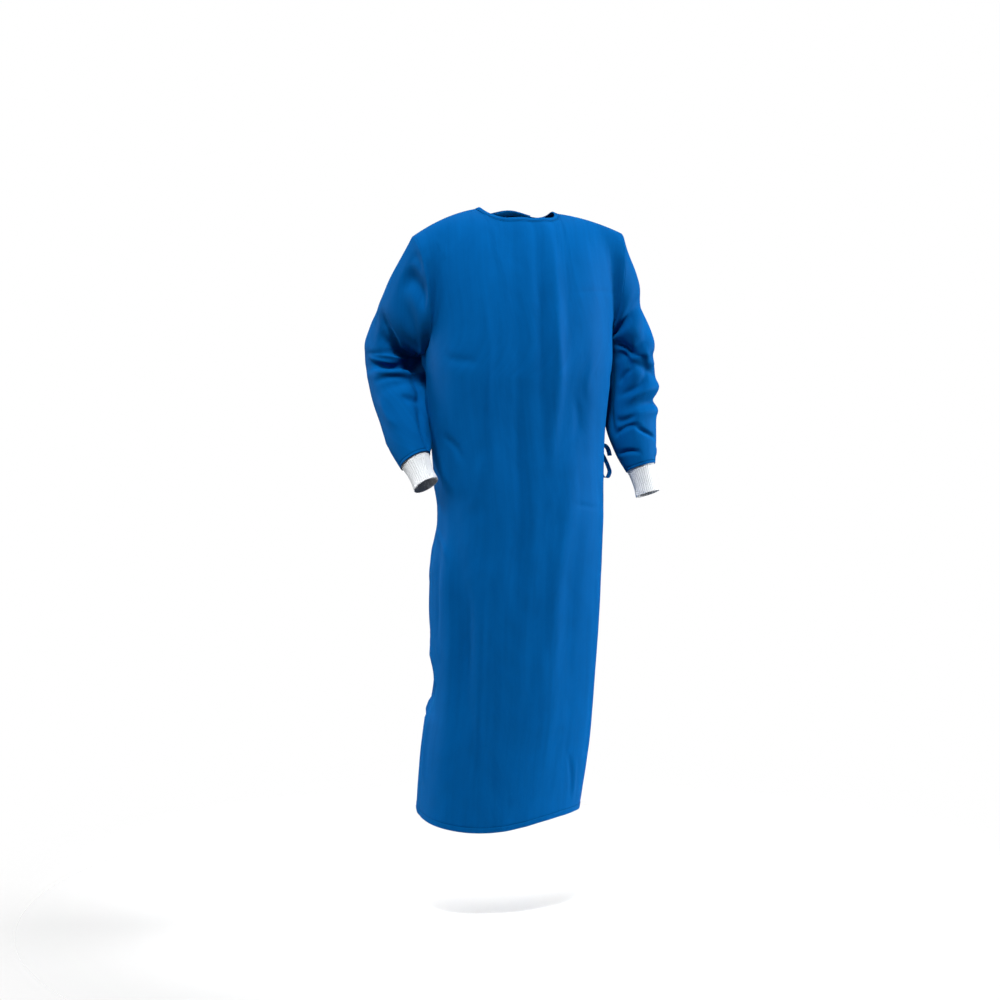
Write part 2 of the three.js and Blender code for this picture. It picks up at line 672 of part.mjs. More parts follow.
// Tape from the upper back panel's free edge forward to the bow
function tieBandGeometry() {
  const face = FACES.back;
  const shareAt = (turn) => (180 - turn) / (180 - SIDE_SEAM);
  const downAt = (share) => {
    const top = chestHeight(share);
    return 1 + (top - BOW.z) / (top - hemHeight(face.turn(share)));
  };
  const last = shareAt(BOW.turn + BOW.bandEnd);
  const first = lapReach(downAt(0)) - TAPE.tuck;
  const grid = range(STRAND_STEPS + 1).map((i) => {
    const share = mix(first, last, i / STRAND_STEPS);
    const middle = lappedPlace(share, downAt(share), SEAM_GAP + TAPE.lift + TAPE.thick);
    return [0.5, -0.5].map((side) => middle.clone().add(point(0, 0, side * TAPE.width)));
  });
  return wall(grid, gridNormals(grid, false), TAPE.thick, false);
}

function neckTabGeometry() {
  const lift = 2 * SEAM_GAP + CLOTH;
  const grid = [NECK_TAB.top, NECK_TAB.foot].map((down) => range(TAB_STEPS + 1).map((i) => {
    const share = mix(NECK_TAB.from, NECK_TAB.to, i / TAB_STEPS);
    return lappedPlace(share, down, lift);
  }));
  return wall(grid, gridNormals(grid, false), CLOTH, false);
}

function gown() {
  const front = { grid: frontGrid(), closed: false };
  const backLeft = { grid: backLeftGrid(), closed: false };
  const backRight = { grid: backRightGrid(), closed: false };
  const loop = (up, down) => [...up.slice(1).reverse(), ...down.slice(0, -1)];
  const leftLoop = loop(armholeEdge(front.grid, -1), armholeEdge(backLeft.grid, 0));
  const rightLoop = loop(armholeEdge(backRight.grid, -1), armholeEdge(front.grid, 0));
  const sleeveLeft = { grid: sleeveGrid('left', leftLoop), closed: true };
  const sleeveRight = { grid: sleeveGrid('right', rightLoop), closed: true };
  openSeams([front, backLeft, backRight, sleeveLeft, sleeveRight]);

  const { shoulder, lap } = BACK_COLUMNS;
  const neckColumns = range(FRONT_COLUMNS.neck + 1).map((j) => j + FRONT_COLUMNS.shoulder);
  const neck = [
    ...neckEdge(backRight, range(lap)),
    ...neckEdge(front, neckColumns),
    ...neckEdge(backLeft, range(lap).map((j) => j + shoulder + 1)),
  ];

  const cloth = ({ grid, normals, closed }) => wall(grid, normals, CLOTH, closed);
  const pieces = {
    front: cloth(front),
    back_left: cloth(backLeft),
    back_right: cloth(backRight),
    sleeve_left: cloth(sleeveLeft),
    sleeve_right: cloth(sleeveRight),
    neck_binding: bindingGeometry(neck),
    cuff_left: cuffGeometry('left'),
    cuff_right: cuffGeometry('right'),
    neck_tab: neckTabGeometry(),
    tie_band: tieBandGeometry(),
    tie_knot: knotGeometry(),
  };
  for (const [name, strand] of Object.entries(STRANDS)) pieces[name] = strandGeometry(strand);
  return pieces;
}

const BLUE = 0x0a4f94;
const WHITE = 0xe9ebec;

const group = new THREE.Group();
for (const [name, geometry] of Object.entries(gown())) {
  const color = name.startsWith('cuff') ? WHITE : BLUE;
  const mesh = new THREE.Mesh(geometry, new THREE.MeshStandardMaterial({ color, roughness: 0.8 }));
  mesh.name = name;
  group.add(mesh);
}

export default group;
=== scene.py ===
import math

import bmesh
import bpy
import numpy as np
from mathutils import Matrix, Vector, noise


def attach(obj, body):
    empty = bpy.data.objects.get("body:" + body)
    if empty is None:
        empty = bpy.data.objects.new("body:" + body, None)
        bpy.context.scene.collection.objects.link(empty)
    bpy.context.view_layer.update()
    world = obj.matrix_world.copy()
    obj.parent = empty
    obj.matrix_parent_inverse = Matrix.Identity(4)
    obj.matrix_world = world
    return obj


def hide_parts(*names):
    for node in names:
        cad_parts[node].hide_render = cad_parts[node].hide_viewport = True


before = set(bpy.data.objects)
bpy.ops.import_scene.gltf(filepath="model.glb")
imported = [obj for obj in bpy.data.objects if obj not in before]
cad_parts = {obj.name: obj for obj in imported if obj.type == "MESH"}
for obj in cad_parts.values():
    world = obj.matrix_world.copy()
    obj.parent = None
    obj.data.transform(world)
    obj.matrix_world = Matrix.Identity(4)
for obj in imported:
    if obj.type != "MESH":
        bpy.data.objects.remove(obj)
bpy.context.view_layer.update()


def table(columns, rows):
    """Rows of plain values, each made a row of named ones"""
    return [dict(zip(columns, row)) for row in rows]


# A worn surgical gown: thin blue cloth that hangs empty from the shoulders.
# Sizes are millimetres, +Z up, front towards -Y, the gown's own left towards +X.
# The sheets are laid out on the gown's form and made metres when they are cut.

MM = 0.001
CLOTH = 1.0
SAME_PLACE = 1e-6
LEAST_LENGTH = 1e-9
LEAST_GAP = 1e-6

# Form of the gown: depth of the neckline and its rise over the neck, shoulders, sections and hem
FACES = {
    "front": {"side": -1, "neck": 62, "peak": 17},
    "back": {"side": 1, "neck": 60, "peak": 44},
}
NECK_SQUARENESS = 2.5
NECK_SHARE = 1 / 3
NECK_CUT_HALVINGS = 30
SHOULDER_TIP = {"tip_x": 236, "tip_y": 6}
SHOULDER = {
    "right": {"sign": -1, "neck": 98, "top": 4, "tip_z": -55, "underarm": -285, **SHOULDER_TIP},
    "left": {"sign": 1, "neck": 84, "top": -4, "tip_z": -44, "underarm": -270, **SHOULDER_TIP},
}
BODY = {
    "z": (-230, -330, -450, -560, -666, -775, -925, -1065, -1162, -1310),
    "cx": (0, -1, -4, -2, 0, -7, -12, -20, -29, -45),
    "cy": (0, 0, 0, 0, 3, 6, 10, 13, 15, 15),
    "half": (206, 203, 193, 186, 184, 187, 182, 180, 183, 177),
    "front": (136, 136, 130, 130, 133, 135, 136, 136, 135, 133),
    "back": (127, 123, 112, 112, 118, 121, 123, 125, 128, 134),
}
SQUARENESS = 2.4
SIDE_SEAM = 96
HEM = {"side": -1290, "front_drop": 25, "back_drop": 4, "lowest": -30, "fold": 13, "proud": 0.5}
HANG = {"out": 0.62, "drop": 6, "chest_rise": 130, "straighten": 0.9}
SHOULDER_ROUND = 0.6
ARMHOLE = {"reach": 85, "under": 95, "inset": 4, "drop": 12, "begins": 0.6, "turns_under": 0.8}
CHEST_DIP = 70
CHEST_FLATNESS = 4

# Large soft folds of the body: turn in degrees from the front at its top and foot, heights,
# half width in degrees and rise (minus: a trough)
FOLD_COLUMNS = ("turn", "foot_turn", "top", "foot", "spread", "rise")
BODY_FOLDS = table(FOLD_COLUMNS, [
    (-42, -52, -170, -640, 8, 6),
    (-22, -18, -130, -860, 9, -6),
    (5, 2, -110, -470, 6, -4),
    (17, 14, -140, -560, 7, 5),
    (50, 46, -260, -520, 9, 4),
    (-60, -54, -700, -1290, 6, -7),
    (-44, -40, -720, -1310, 8, 6),
    (30, 38, -640, -1300, 10, -5),
    (58, 62, -600, -1310, 9, 5),
    (-104, -112, -590, -720, 14, -9),
    (-106, -100, -950, -1090, 15, -17),
    (125, 120, -180, -900, 9, 6),
    (150, 158, -480, -1290, 10, -7),
    (-150, -146, -150, -700, 9, -6),
    (-128, -132, -420, -1290, 9, 6),
])

# Lap of the back panels: shares across the back, and how far the upper panel stands off
LAP = {"neck": 0.18, "chest": 0.4, "hem": 0.66, "clear": 0.04, "stand_off": 4}
LAP_LIFT = {"begins": 0.95, "full_by": 0.5}

# Sleeve rings: centre, half sizes, and how far the outer and front edges stand above the centre
RING_COLUMNS = ("x", "y", "z", "across", "deep", "outer_rise", "front_rise")
SLEEVES = {
    "right": table(RING_COLUMNS, [
        (-246, 66, -240, 36, 66, 64, -12),
        (-245, 128, -300, 58, 60, 4, -6),
        (-249, 98, -362, 56, 52, -2, 14),
        (-254, 64, -420, 45, 42, -4, 22),
        (-246, 26, -484, 39, 36, -8, 22),
        (-234, -2, -528, 32, 28, -10, 20),
    ]),
    "left": table(RING_COLUMNS, [
        (259, 14, -302, 48, 62, 4, 0),
        (265, 10, -385, 56, 58, 0, 6),
        (257, -6, -450, 57, 48, 4, 12),
        (261, -26, -512, 45, 38, 6, 12),
        (267, -40, -552, 32, 30, 7, 10),
    ]),
}

# Sleeve folds: place and half width along it, place and half width round it in degrees from
# the outer side towards the front, slope along it over a quarter turn, and rise
SLEEVE_FOLD_COLUMNS = ("at", "width", "turn", "spread", "slope", "rise")
SLEEVE_FOLDS = {
    "right": table(SLEEVE_FOLD_COLUMNS, [
        (0.85, 0.25, 80, 40, 0.15, -10),
        (1.75, 0.16, 60, 75, 0.45, -9),
        (2.1, 0.16, 70, 90, 0.25, 7),
        (2.45, 0.16, 95, 75, -0.15, -9),
        (2.85, 0.2, 85, 80, 0.1, 5),
        (3.3, 0.22, 110, 60, -0.2, -6),
        (1.2, 0.25, -80, 60, -0.3, -7),
        (4.2, 0.4, -60, 50, 0.3, -4),
        (3.9, 1.2, 170, 55, 0, 20),
    ]),
    "left": table(SLEEVE_FOLD_COLUMNS, [
        (0.5, 0.4, 0, 70, 0, 11),
        (0.7, 0.13, 40, 70, 0.35, -10),
        (0.95, 0.12, 50, 70, 0.3, 6),
        (1.4, 0.18, 80, 60, -0.45, -8),
        (1.95, 0.2, 40, 70, 0.35, 6),
        (2.4, 0.2, 20, 80, 0.25, -9),
        (2.8, 0.2, 30, 80, 0.2, 4),
        (1.6, 0.25, -80, 60, 0.3, -7),
    ]),
}

# Rings at the armhole and at the wrist over which the sleeve folds die out
SLEEVE_HELD = {"armhole": 0.3, "wrist": 0.6}

# Creases: where each begins and ends, across its panel and by height, half width and rise.
# The front is measured across from its middle, a back panel from its side seam.
CREASE_COLUMNS = ("across", "top", "foot_across", "foot", "width", "rise")
CREASES = {
    "front": table(CREASE_COLUMNS, [
        (-49, -384, -42, -840, 13, -2.6),
        (-123, -188, -107, -519, 11, 2.4),
        (-107, -505, -159, -640, 10, 2.4),
        (21, -146, 15, -357, 11, -1.6),
        (44, -178, 41, -460, 11, 1.8),
        (125, -300, 116, -405, 9, 2.2),
        (98, -385, 83, -490, 10, -2.6),
        (-220, -298, -128, -328, 8, -2.2),
        (-222, -460, -158, -535, 9, -2.6),
        (-153, -760, -143, -1030, 10, -3),
        (-145, -1000, -111, -1210, 10, -2.6),
        (-126, -765, -96, -1230, 9, 2.4),
        (149, -660, 197, -1270, 11, 2.6),
        (110, -1145, 131, -1268, 5, -2.2),
        (121, -1150, 147, -1268, 5, 1.6),
        (-270, -655, -200, -748, 7, 2.4),
        (-248, -870, -226, -965, 7, 2.2),
        (-240, -992, -279, -1062, 9, -3.5),
        (70, -621, 172, -631, 4, -1.2),
        (55, -171, 284, -174, 4, -1.1),
        (-40, -36, -37, -135, 12, -1.8),
        (-230, -52, -222, -112, 8, 1.8),
        (276, -296, 188, -384, 9, -2),
        (290, -500, 212, -546, 7, -2.2),
        (288, -528, 226, -612, 8, 1.8),
        (4, -860, 22, -1180, 16, 1.6),
        (-112, -300, -108, -1040, 26, 4),
        (-176, -330, -166, -1150, 26, -4),
        (58, -420, 66, -1040, 24, 3),
        (206, -690, 232, -1240, 18, 3.4),
        (-252, -560, -262, -820, 13, 4),
        (-222, -700, -246, -940, 9, -3.4),
        (-272, -1060, -238, -1250, 12, 3.6),
        (262, -640, 240, -980, 12, -3),
    ]),
    "back_left": table(CREASE_COLUMNS, [
        (62, -150, 78, -500, 13, 4),
        (120, -260, 108, -720, 15, -4.4),
        (18, -495, 92, -512, 6, -2.6),
        (30, -530, 88, -610, 8, 2.6),
        (46, -560, 34, -1080, 16, -4),
        (84, -660, 60, -1240, 14, 4.2),
        (152, -800, 140, -1250, 12, -3.4),
        (10, -340, 96, -452, 9, -3),
    ]),
    "back_right": table(CREASE_COLUMNS, [
        (58, -170, 84, -470, 13, -4),
        (118, -130, 132, -610, 15, 4.4),
        (196, -90, 212, -420, 12, 3.2),
        (160, -240, 150, -760, 18, -4.2),
        (66, -540, 48, -1010, 14, 4),
        (108, -700, 120, -1270, 17, -4.6),
        (150, -620, 172, -1180, 13, 3.6),
        (206, -480, 222, -1120, 16, -3.8),
        (236, -560, 262, -1230, 13, 3.4),
        (300, -420, 250, -560, 8, 2.2),
        (24, -430, 118, -520, 9, -3),
        (40, -1040, 74, -1260, 8, -3),
        (21, -272, 24, -346, 14, 8),
        (18, -350, 20, -500, 14, 4),
        (30, -770, 36, -1005, 24, -7),
        (4, -1048, 84, -1080, 11, 6),
    ]),
}

# Sleeve creases: begin and end along it (by ring) and round it in degrees, half width and rise
SLEEVE_CREASE_COLUMNS = ("at", "turn", "end_at", "end_turn", "width", "rise")
SLEEVE_CREASES = {
    "right": table(SLEEVE_CREASE_COLUMNS, [
        (0.78, 30, 0.02, 92, 11, -15),
        (0.3, 20, 0.05, 60, 5, -4),
        (1.2, 10, 1.85, 96, 6, -9),
        (1.45, 0, 2.0, 84, 8, 5),
        (1.5, 104, 4.8, 142, 13, -13),
        (2.0, 5, 1.95, 112, 5, -4),
        (2.24, 0, 2.3, 100, 6, 4),
        (2.3, 18, 2.7, 124, 6, -8),
        (2.62, 10, 2.95, 110, 6, 3.5),
        (3.05, 16, 3.2, 132, 7, -4.5),
        (4.0, 78, 4.0, 152, 9, -6),
        (4.0, 114, 6.4, 160, 9, -9),
        (3.6, 20, 4.9, 60, 10, 3),
        (-0.1, 160, 1.0, 164, 13, 6),
        (1.4, 149, 3.5, 157, 15, 10.5),
        (3.0, 165, 6.0, 168, 11, 2.2),
        (4.4, 168, 7.0, 170, 11, 5),
        (0.9, -40, 1.5, -110, 9, -7),
        (1.8, -60, 2.3, -140, 9, 5),
        (2.7, -50, 3.2, -120, 9, -6),
        (4.6, -30, 5.3, -70, 8, 2.5),
    ]),
    "left": table(SLEEVE_CREASE_COLUMNS, [
        (0.66, -8, 0.02, 195, 6, -12),
        (0.92, 4, 0.34, 190, 10, 5),
        (0.5, 154, 1.3, 68, 6, -10),
        (1.0, 88, 1.36, 28, 8, 4),
        (0.85, 144, 1.46, 110, 5, -6),
        (1.3, 110, 1.92, 142, 5, -6),
        (1.34, 54, 2.36, 144, 7, -7),
        (1.7, 50, 2.6, 124, 8, 4),
        (0.7, 168, 3.8, 160, 12, -12),
        (2.95, 154, 3.1, 90, 9, -8),
        (3.5, 166, 3.25, 84, 5, -8),
        (3.24, 106, 3.92, 38, 5, -7),
        (4.0, 184, 4.4, 92, 7, -7),
        (1.2, -30, 1.7, -110, 9, -7),
        (2.2, -20, 2.6, -90, 9, 5),
        (3.2, -30, 3.7, -110, 9, -6),
        (4.1, 20, 4.7, 50, 8, 2.5),
    ]),
}

# A sleeve laid flat: space between its rings, width of a degree, and the turn at its middle
RING_SPACING = 64
MM_PER_DEGREE = 0.85
MIDDLE_TURN = 20

# How every crease wanders off its line and fades out at its ends
CREASE_RUN = {"wander": 0.6, "waves": 5, "fade": 0.35}

# Small dents of handled cloth, and the pucker beside a sewn seam
DENT_COLUMNS = ("deep", "across", "down", "seed")
DENTS = table(DENT_COLUMNS, [
    (1.3, 34, 190, 0),
    (0.5, 17, 44, 5),
])
DENT_SEEDS = {"front": 1.3, "back_left": 12.7, "back_right": 13.7, "sleeve": 6.3}
SLEEVE_DENTS = 0.6
PUCKER = {"rise": 0.6, "reach": 6, "length": 11}
PUCKER_SEEDS = {"front": 2.1, "back": 4.9}
SEAM_HOLDS = 14

# How far the cloth is eased below the neck points, beside the armholes and where creases cross
NECK_POINT = {"columns": 7, "passes": 24}
ARMHOLE_EASE = {"columns": 22, "passes": 60, "fade": 0.2}
SETTLE = {"least": 0.25, "passes": 60}

# Knitted cuffs: distance from the sleeve's end and share of its size, for each ring
CUFF = {"along": (-7, 0, 14, 38, 60), "size": (0.94, 0.93, 0.84, 0.77, 0.8)}
RIB = {"count": 36, "height": 0.9, "wall": 1.8, "points": 8, "rows": 48}

# Neck binding: a tape folded over the edge, as distance past the edge and out of the cloth
BINDING_FOLD = ((-1.6, -1.8), (2, -1.9), (6, -1.85), (8.6, -1.5), (9.4, -0.6),
                (8.6, 0.35), (6, 0.75), (2, 0.8), (-1.6, 0.65))
BINDING = {"rows": 25, "thick": 0.5, "passes": 6}

# Waist tie: a tape tied in a bow at the left side
TAPE = {"width": 12, "thick": 1, "lift": 1.9, "cup": 0.5, "columns": 6, "rows": 60}
BOW = {"turn": 98, "z": -508, "stand_off": 9, "band_end": 1.65, "band_tuck": 0.08}
KNOT = {"out": 6, "back": 7, "up": 7.5, "end": 0.86, "rows": 48, "columns": 12}
KNOT_LUMPS = {"rise": 0.05, "count": 3, "twist": 2}

# Strands of the bow: across the tape, and its route away from the body, towards the back and up
STRANDS = {
    "tie_loop_front": {"flat": (0.3, -0.95, 0), "route": (
        (3.4, -1.4, -6.9), (15, -4, -26), (25, -4, -46), (29, -3, -57), (24, -2, -68),
        (14, -2, -66), (7, -3, -48), (4, -4, -26), (0.6, -2, -8))},
    "tie_loop_back": {"flat": (0.98, 0.2, 0), "route": (
        (4.2, 7.7, 3.4), (5, 28, -1), (5, 44, -17), (5, 53, -40), (4, 49, -52),
        (4, 39, -46), (4, 26, -26), (3.8, 8.6, -3.6))},
    "tie_end_short": {"flat": (0.3, -0.9, 0.3), "route": (
        (6.2, 0.8, 2), (18, 2, 2), (28, 3, -7), (33, 3, -22))},
    "tie_end_long": {"flat": (0.2, 0.98, 0), "route": (
        (-3.4, 1.4, -7), (-4, 3, -30), (-4, 5, -110), (-4, 4, -190))},
}
NECK_TAB = {"start": 0.34, "end": 0.12, "top": 0.07, "foot": 0.15, "lift": 1.8}
TAB_GRID = {"columns": 40, "rows": 14}

# Colours and finishes of the cloth, the knit and the floor paper
BLUE = {
    "deep": (0.0004, 0.056, 0.2, 1),
    "light": (0.0008, 0.084, 0.29, 1),
    "thread": (0.0004, 0.042, 0.15, 1),
}
# The knit runs from the deep white, painted shade in the hollows between its loops, to the light
# white on the loops
WHITE = {"deep": (0.5, 0.53, 0.56, 1), "light": (0.86, 0.88, 0.9, 1), "paper": (0.94, 0.94, 0.94, 1)}
BLUE_GLOSS = (0.005, 0.4, 1, 1)
WHITE_GLOSS = (1, 1, 1, 1)
FINISH_COLUMNS = ("roughness", "specular", "sheen", "gloss")
CLOTH_FINISH, KNIT_FINISH, PAPER_FINISH = table(FINISH_COLUMNS, [
    (0.6, 0.015, 0.07, BLUE_GLOSS),
    (0.85, 0.2, 0.25, WHITE_GLOSS),
    (0.9, 0.1, 0, WHITE_GLOSS),
])
SHEEN_ROUGHNESS = 0.45

# Specks in the cloth: number to a metre across and down, detail, and share in the tone
SPECKS = {
    "fibres": {"per_metre": (1500, 520), "detail": 3, "tone": 0.5},
    "clouds": {"per_metre": (13, 8), "detail": 4, "tone": 0.9},
    "streaks": {"per_metre": (80, 3), "detail": 2, "tone": 0.6},
    "crinkle": {"per_metre": (110, 70), "detail": 3},
    "fluff": {"per_metre": (900, 900), "detail": 3, "tone": 0.5},
}
SPECK_ROUGHNESS = 0.6
MIDDLE_TONE = 0.5
CLOTH_HEIGHT = {"fibres": 0.3, "crinkle": 1.6}
BOND = {"per_metre": 620, "uneven": 0.15, "radius": 0.24, "tone": -0.12, "height": -0.15}

# Stitches and knit in metres, each row of stitches by its distance from an edge
STITCH = {"pitch": 0.0034, "dash": 0.72, "thread": 0.0009, "furrow": 0.0022, "least_deep": 0.5}
STITCH_ROWS = {"body": 0.012, "sleeve": 0.006, "binding": 0.0022, "tape": 0.0018}
# The knit's tone follows its loop height: painted shade darkens the hollows, and painted_hollow_shade
# is the tone there
KNIT = {"column": 0.0013, "course": 0.0014, "slant": 1.4, "tone": 0.55, "painted_hollow_shade": 0.3}

# Relief of a surface: depth in metres and strength
RELIEF = {"cloth": (0.0006, 0.35), "stitches": (0.0012, 0.9), "knit": (0.0005, 0.7)}

# Studio air and floor
AIR_LIGHT = 0.06
FLOOR = {"z": -1.52, "radius": 1.4, "fades_from": 0.45, "segments": 96}

# Soft lights: where each stands and points, its size, the spread of its beam in degrees, and power
LIGHT_COLUMNS = ("title", "spot", "aim", "size", "spread", "power")
LIGHTS = table(LIGHT_COLUMNS, [
    ("key", (4, -0.9, 0), (0, 0, -0.6), 1.4, 180, 300),
    ("left light", (-3.9, 0.2, 2), (0, 0, -0.4), 1.4, 50, 7.6),
    ("front light", (-0.9, -2.3, 3.1), (0, 0, -0.85), 0.6, 26, 6.6),
    ("back light", (-2.9, 2.7, -0.2), (0, 0, -0.95), 1, 40, 6.5),
    ("floor wash", (0, 0.6, 2.4), (0, 0.6, -1.5), 4, 180, 80),
])
CAMERA = {"spot": (-1.7101, -4.69846, -0.17), "aim": (-0.038476, 0.014004, -0.618054)}
LENS = {"length": 83.864, "sensor": 36}

# Fineness of the sheets, with the last rows of the skirt as shares of the turned-up hem,
# and the step over which a slope of the cloth is taken
YOKE_ROWS = 84
SKIRT_ROWS = 190
FRONT_COLUMNS = {"shoulder": 50, "neck": 52}
BACK_COLUMNS = {"shoulder": 50, "lap": 40}
SLEEVE_COLUMNS = 112
SLEEVE_ROWS = 150
SKIRT_LENGTH = 1000
SKIRT_ROWS_END = 1.4
HEM_ROWS = (1.15, 1.05, 0.95, 0.6, 0.2, 0)
SLOPE_STEP = 0.004


def mix(a, b, t):
    """Value at a share of the way from one to another"""
    return a + (b - a) * t


def ease(low, high, value):
    """Smooth step from 0 at one value to 1 at another"""
    t = np.clip((value - low) / (high - low), 0, 1)
    return t * t * (3 - 2 * t)


def place(x, y, z):
    """Places from their three coordinates"""
    return np.stack(np.broadcast_arrays(x, y, z), axis=-1).astype(float)


def section(column, z):
    """Smooth curve through one column of the body's sections, at any heights"""
    heights = np.array(BODY["z"], float)
    sizes = np.array(BODY[column], float)
    slopes = np.empty_like(sizes)
    slopes[1:-1] = (sizes[2:] - sizes[:-2]) / (heights[2:] - heights[:-2])
    slopes[0] = (sizes[1] - sizes[0]) / (heights[1] - heights[0])
    slopes[-1] = (sizes[-1] - sizes[-2]) / (heights[-1] - heights[-2])
    above = np.searchsorted(-heights, -np.asarray(z, float), side="right")
    i = np.clip(above - 1, 0, len(heights) - 2)
    run = heights[i + 1] - heights[i]
    t = (z - heights[i]) / run
    ends = sizes[i] * (1 + 2 * t) * (1 - t) ** 2 + sizes[i + 1] * (3 - 2 * t) * t ** 2
    return ends + run * t * (1 - t) * (slopes[i] * (1 - t) - slopes[i + 1] * t)


def turn_between(a, b):
    """Degrees from b round to a, from -180 up to 180"""
    return (a - b + 180) % 360 - 180


def body_fold(turn, z):
    """Rise of the large folds of the body"""
    rise = 0
    for fold in BODY_FOLDS:
        share = np.clip((fold["top"] - z) / (fold["top"] - fold["foot"]), 0, 1)
        off = turn_between(turn, mix(fold["turn"], fold["foot_turn"], share)) / fold["spread"]
        rise = rise + fold["rise"] * np.sin(np.pi * share) * np.exp(-off * off)
    return rise


def body_ring(turn, z):
    """Outside of the body at turns in degrees from the front, and at heights"""
    across = np.sin(np.radians(turn))
    behind = -np.cos(np.radians(turn))
    depth = np.where(behind < 0, section("front", z), section("back", z))
    size = np.abs(across / section("half", z)) ** SQUARENESS + np.abs(behind / depth) ** SQUARENESS
    radius = size ** (-1 / SQUARENESS) + body_fold(turn, z)
    return place(section("cx", z) + radius * across, section("cy", z) + radius * behind, z)


def by_side(share, key):
    """One of the shoulders' sizes, for the side that each share is on"""
    return np.where(share < 0, SHOULDER["right"][key], SHOULDER["left"][key])


def underarm(share):
    """Height of the underarm, which differs from side to side"""
    return mix(SHOULDER["right"]["underarm"], SHOULDER["left"]["underarm"], (share + 1) / 2)


def chest_height(share):
    """Height at which the yoke ends and the skirt begins"""
    return underarm(share) - CHEST_DIP * (1 - share ** CHEST_FLATNESS)


def turn_at(face, share):
    """Turn from the front at a share of the way from a face's middle to its side seams"""
    return share * SIDE_SEAM if face == "front" else 180 - share * (180 - SIDE_SEAM)


def shoulder_ridge(face, share):
    """The shoulder seams, joined across the neck by a smooth peak"""
    across = np.clip(share / NECK_SHARE, -1, 1)
    tilt = mix(SHOULDER["right"]["top"], SHOULDER["left"]["top"], (across + 1) / 2)
    peak = FACES[face]["peak"] * (1 - across ** 2) ** 2
    over_neck = place(by_side(share, "neck") * across, 0, tilt + peak)
    t = np.clip((np.abs(share) - NECK_SHARE) / (1 - NECK_SHARE), 0, 1)
    top = by_side(share, "top")
    fall = (by_side(share, "tip_z") - top) * mix(t, t * t, SHOULDER_ROUND)
    out = by_side(share, "sign") * mix(by_side(share, "neck"), by_side(share, "tip_x"), t)
    beside = place(out, by_side(share, "tip_y") * t, top + fall)
    return np.where((np.abs(share) <= NECK_SHARE)[..., None], over_neck, beside)


def hang_line(face, share):
    """Four guide points of the line in which cloth falls from the shoulder to the chest"""
    side = FACES[face]["side"]
    top = shoulder_ridge(face, share)
    foot = body_ring(turn_at(face, share), chest_height(share))
    forward = mix(top[..., 1], foot[..., 1], HANG["out"])
    upper = place(top[..., 0], forward, top[..., 2] - HANG["drop"])
    aside = mix(top[..., 0], foot[..., 0], HANG["straighten"])
    lower = place(aside, foot[..., 1], underarm(share) + HANG["chest_rise"])
    inset = -by_side(share, "sign") * ARMHOLE["inset"]
    arm_upper = top + place(inset, side * ARMHOLE["reach"], -ARMHOLE["drop"])
    arm_lower = foot + place(0, side * ARMHOLE["under"], 0)
    size = np.abs(share)
    upper = mix(upper, arm_upper, ease(ARMHOLE["begins"], 1, size)[..., None])
    lower = mix(lower, arm_lower, ease(ARMHOLE["turns_under"], 1, size)[..., None])
    return top, upper, lower, foot


def along_line(guides, t):
    """Places on the smooth curve that four guide points draw"""
    t = t[..., None]
    a, b, c, d = guides
    return a * (1 - t) ** 3 + 3 * b * t * (1 - t) ** 2 + 3 * c * t * t * (1 - t) + d * t ** 3


def neck_cut(face, share, guides):
    """Where each line of cloth begins: at the ridge, or at the neckline that cuts it"""
    across = np.minimum(1, np.abs(share) / NECK_SHARE)
    reach = FACES[face]["neck"] * (1 - across ** NECK_SQUARENESS) ** (1 / NECK_SQUARENESS)
    low = np.zeros_like(share)
    high = np.ones_like(share)
    for _ in range(NECK_CUT_HALVINGS):
        middle = (low + high) / 2
        inside = FACES[face]["side"] * along_line(guides, middle)[..., 1] < reach
        low = np.where(inside, middle, low)
        high = np.where(inside, high, middle)
    return np.where(across < 1, low, 0)


def hem_height(turn):
    """Height of the slanted hem"""
    forward = np.cos(np.radians(turn - HEM["lowest"]))
    return HEM["side"] - np.where(forward > 0, HEM["front_drop"], HEM["back_drop"]) * forward ** 2


def body_place(face, share, down):
    """Places on the front or back: share across, and down from 0 through the chest at 1 to 2"""
    turn = turn_at(face, share)
    guides = hang_line(face, share)
    yoke_down = np.minimum(down, 1)
    yoke = along_line(guides, mix(neck_cut(face, share, guides), 1, yoke_down))
    at_arm = ease(ARMHOLE["begins"], 1, np.abs(share))
    fold = body_fold(turn, yoke[..., 2]) * (1 - at_arm) * (1 - yoke_down)
    yoke = yoke + place(np.sin(np.radians(turn)) * fold, -np.cos(np.radians(turn)) * fold, 0)
    skirt = body_ring(turn, mix(chest_height(share), hem_height(turn), np.maximum(down - 1, 0)))
    return np.where((down <= 1)[..., None], yoke, skirt)


def out_of_cloth(grid, wraps=False):
    """Outward unit normals of a grid whose rows run down and columns run anticlockwise"""
    fall = np.gradient(grid, axis=0)
    along = np.gradient(grid, axis=1)
    if wraps:
        along[:, 0] = along[:, -1] = (grid[:, 1] - grid[:, -2]) / 2
    out = np.cross(fall, along)
    return out / np.maximum(np.linalg.norm(out, axis=-1, keepdims=True), LEAST_LENGTH)


def run_of(grid, axis):
    """Length of cloth from the first row or column of a grid"""
    steps = np.linalg.norm(np.diff(grid, axis=axis), axis=-1)
    pad = [(1, 0) if k == axis else (0, 0) for k in range(2)]
    return np.cumsum(np.pad(steps, pad), axis=axis)


def downs():
    """Rows from the top edge to the hem, close together at the turned-up hem"""
    yoke = np.arange(YOKE_ROWS) / YOKE_ROWS
    turned = HEM["fold"] / SKIRT_LENGTH
    skirt = np.linspace(1, 2 - SKIRT_ROWS_END * turned, SKIRT_ROWS)
    hem = 2 - turned * np.array(HEM_ROWS)
    return np.concatenate([yoke, skirt, hem])


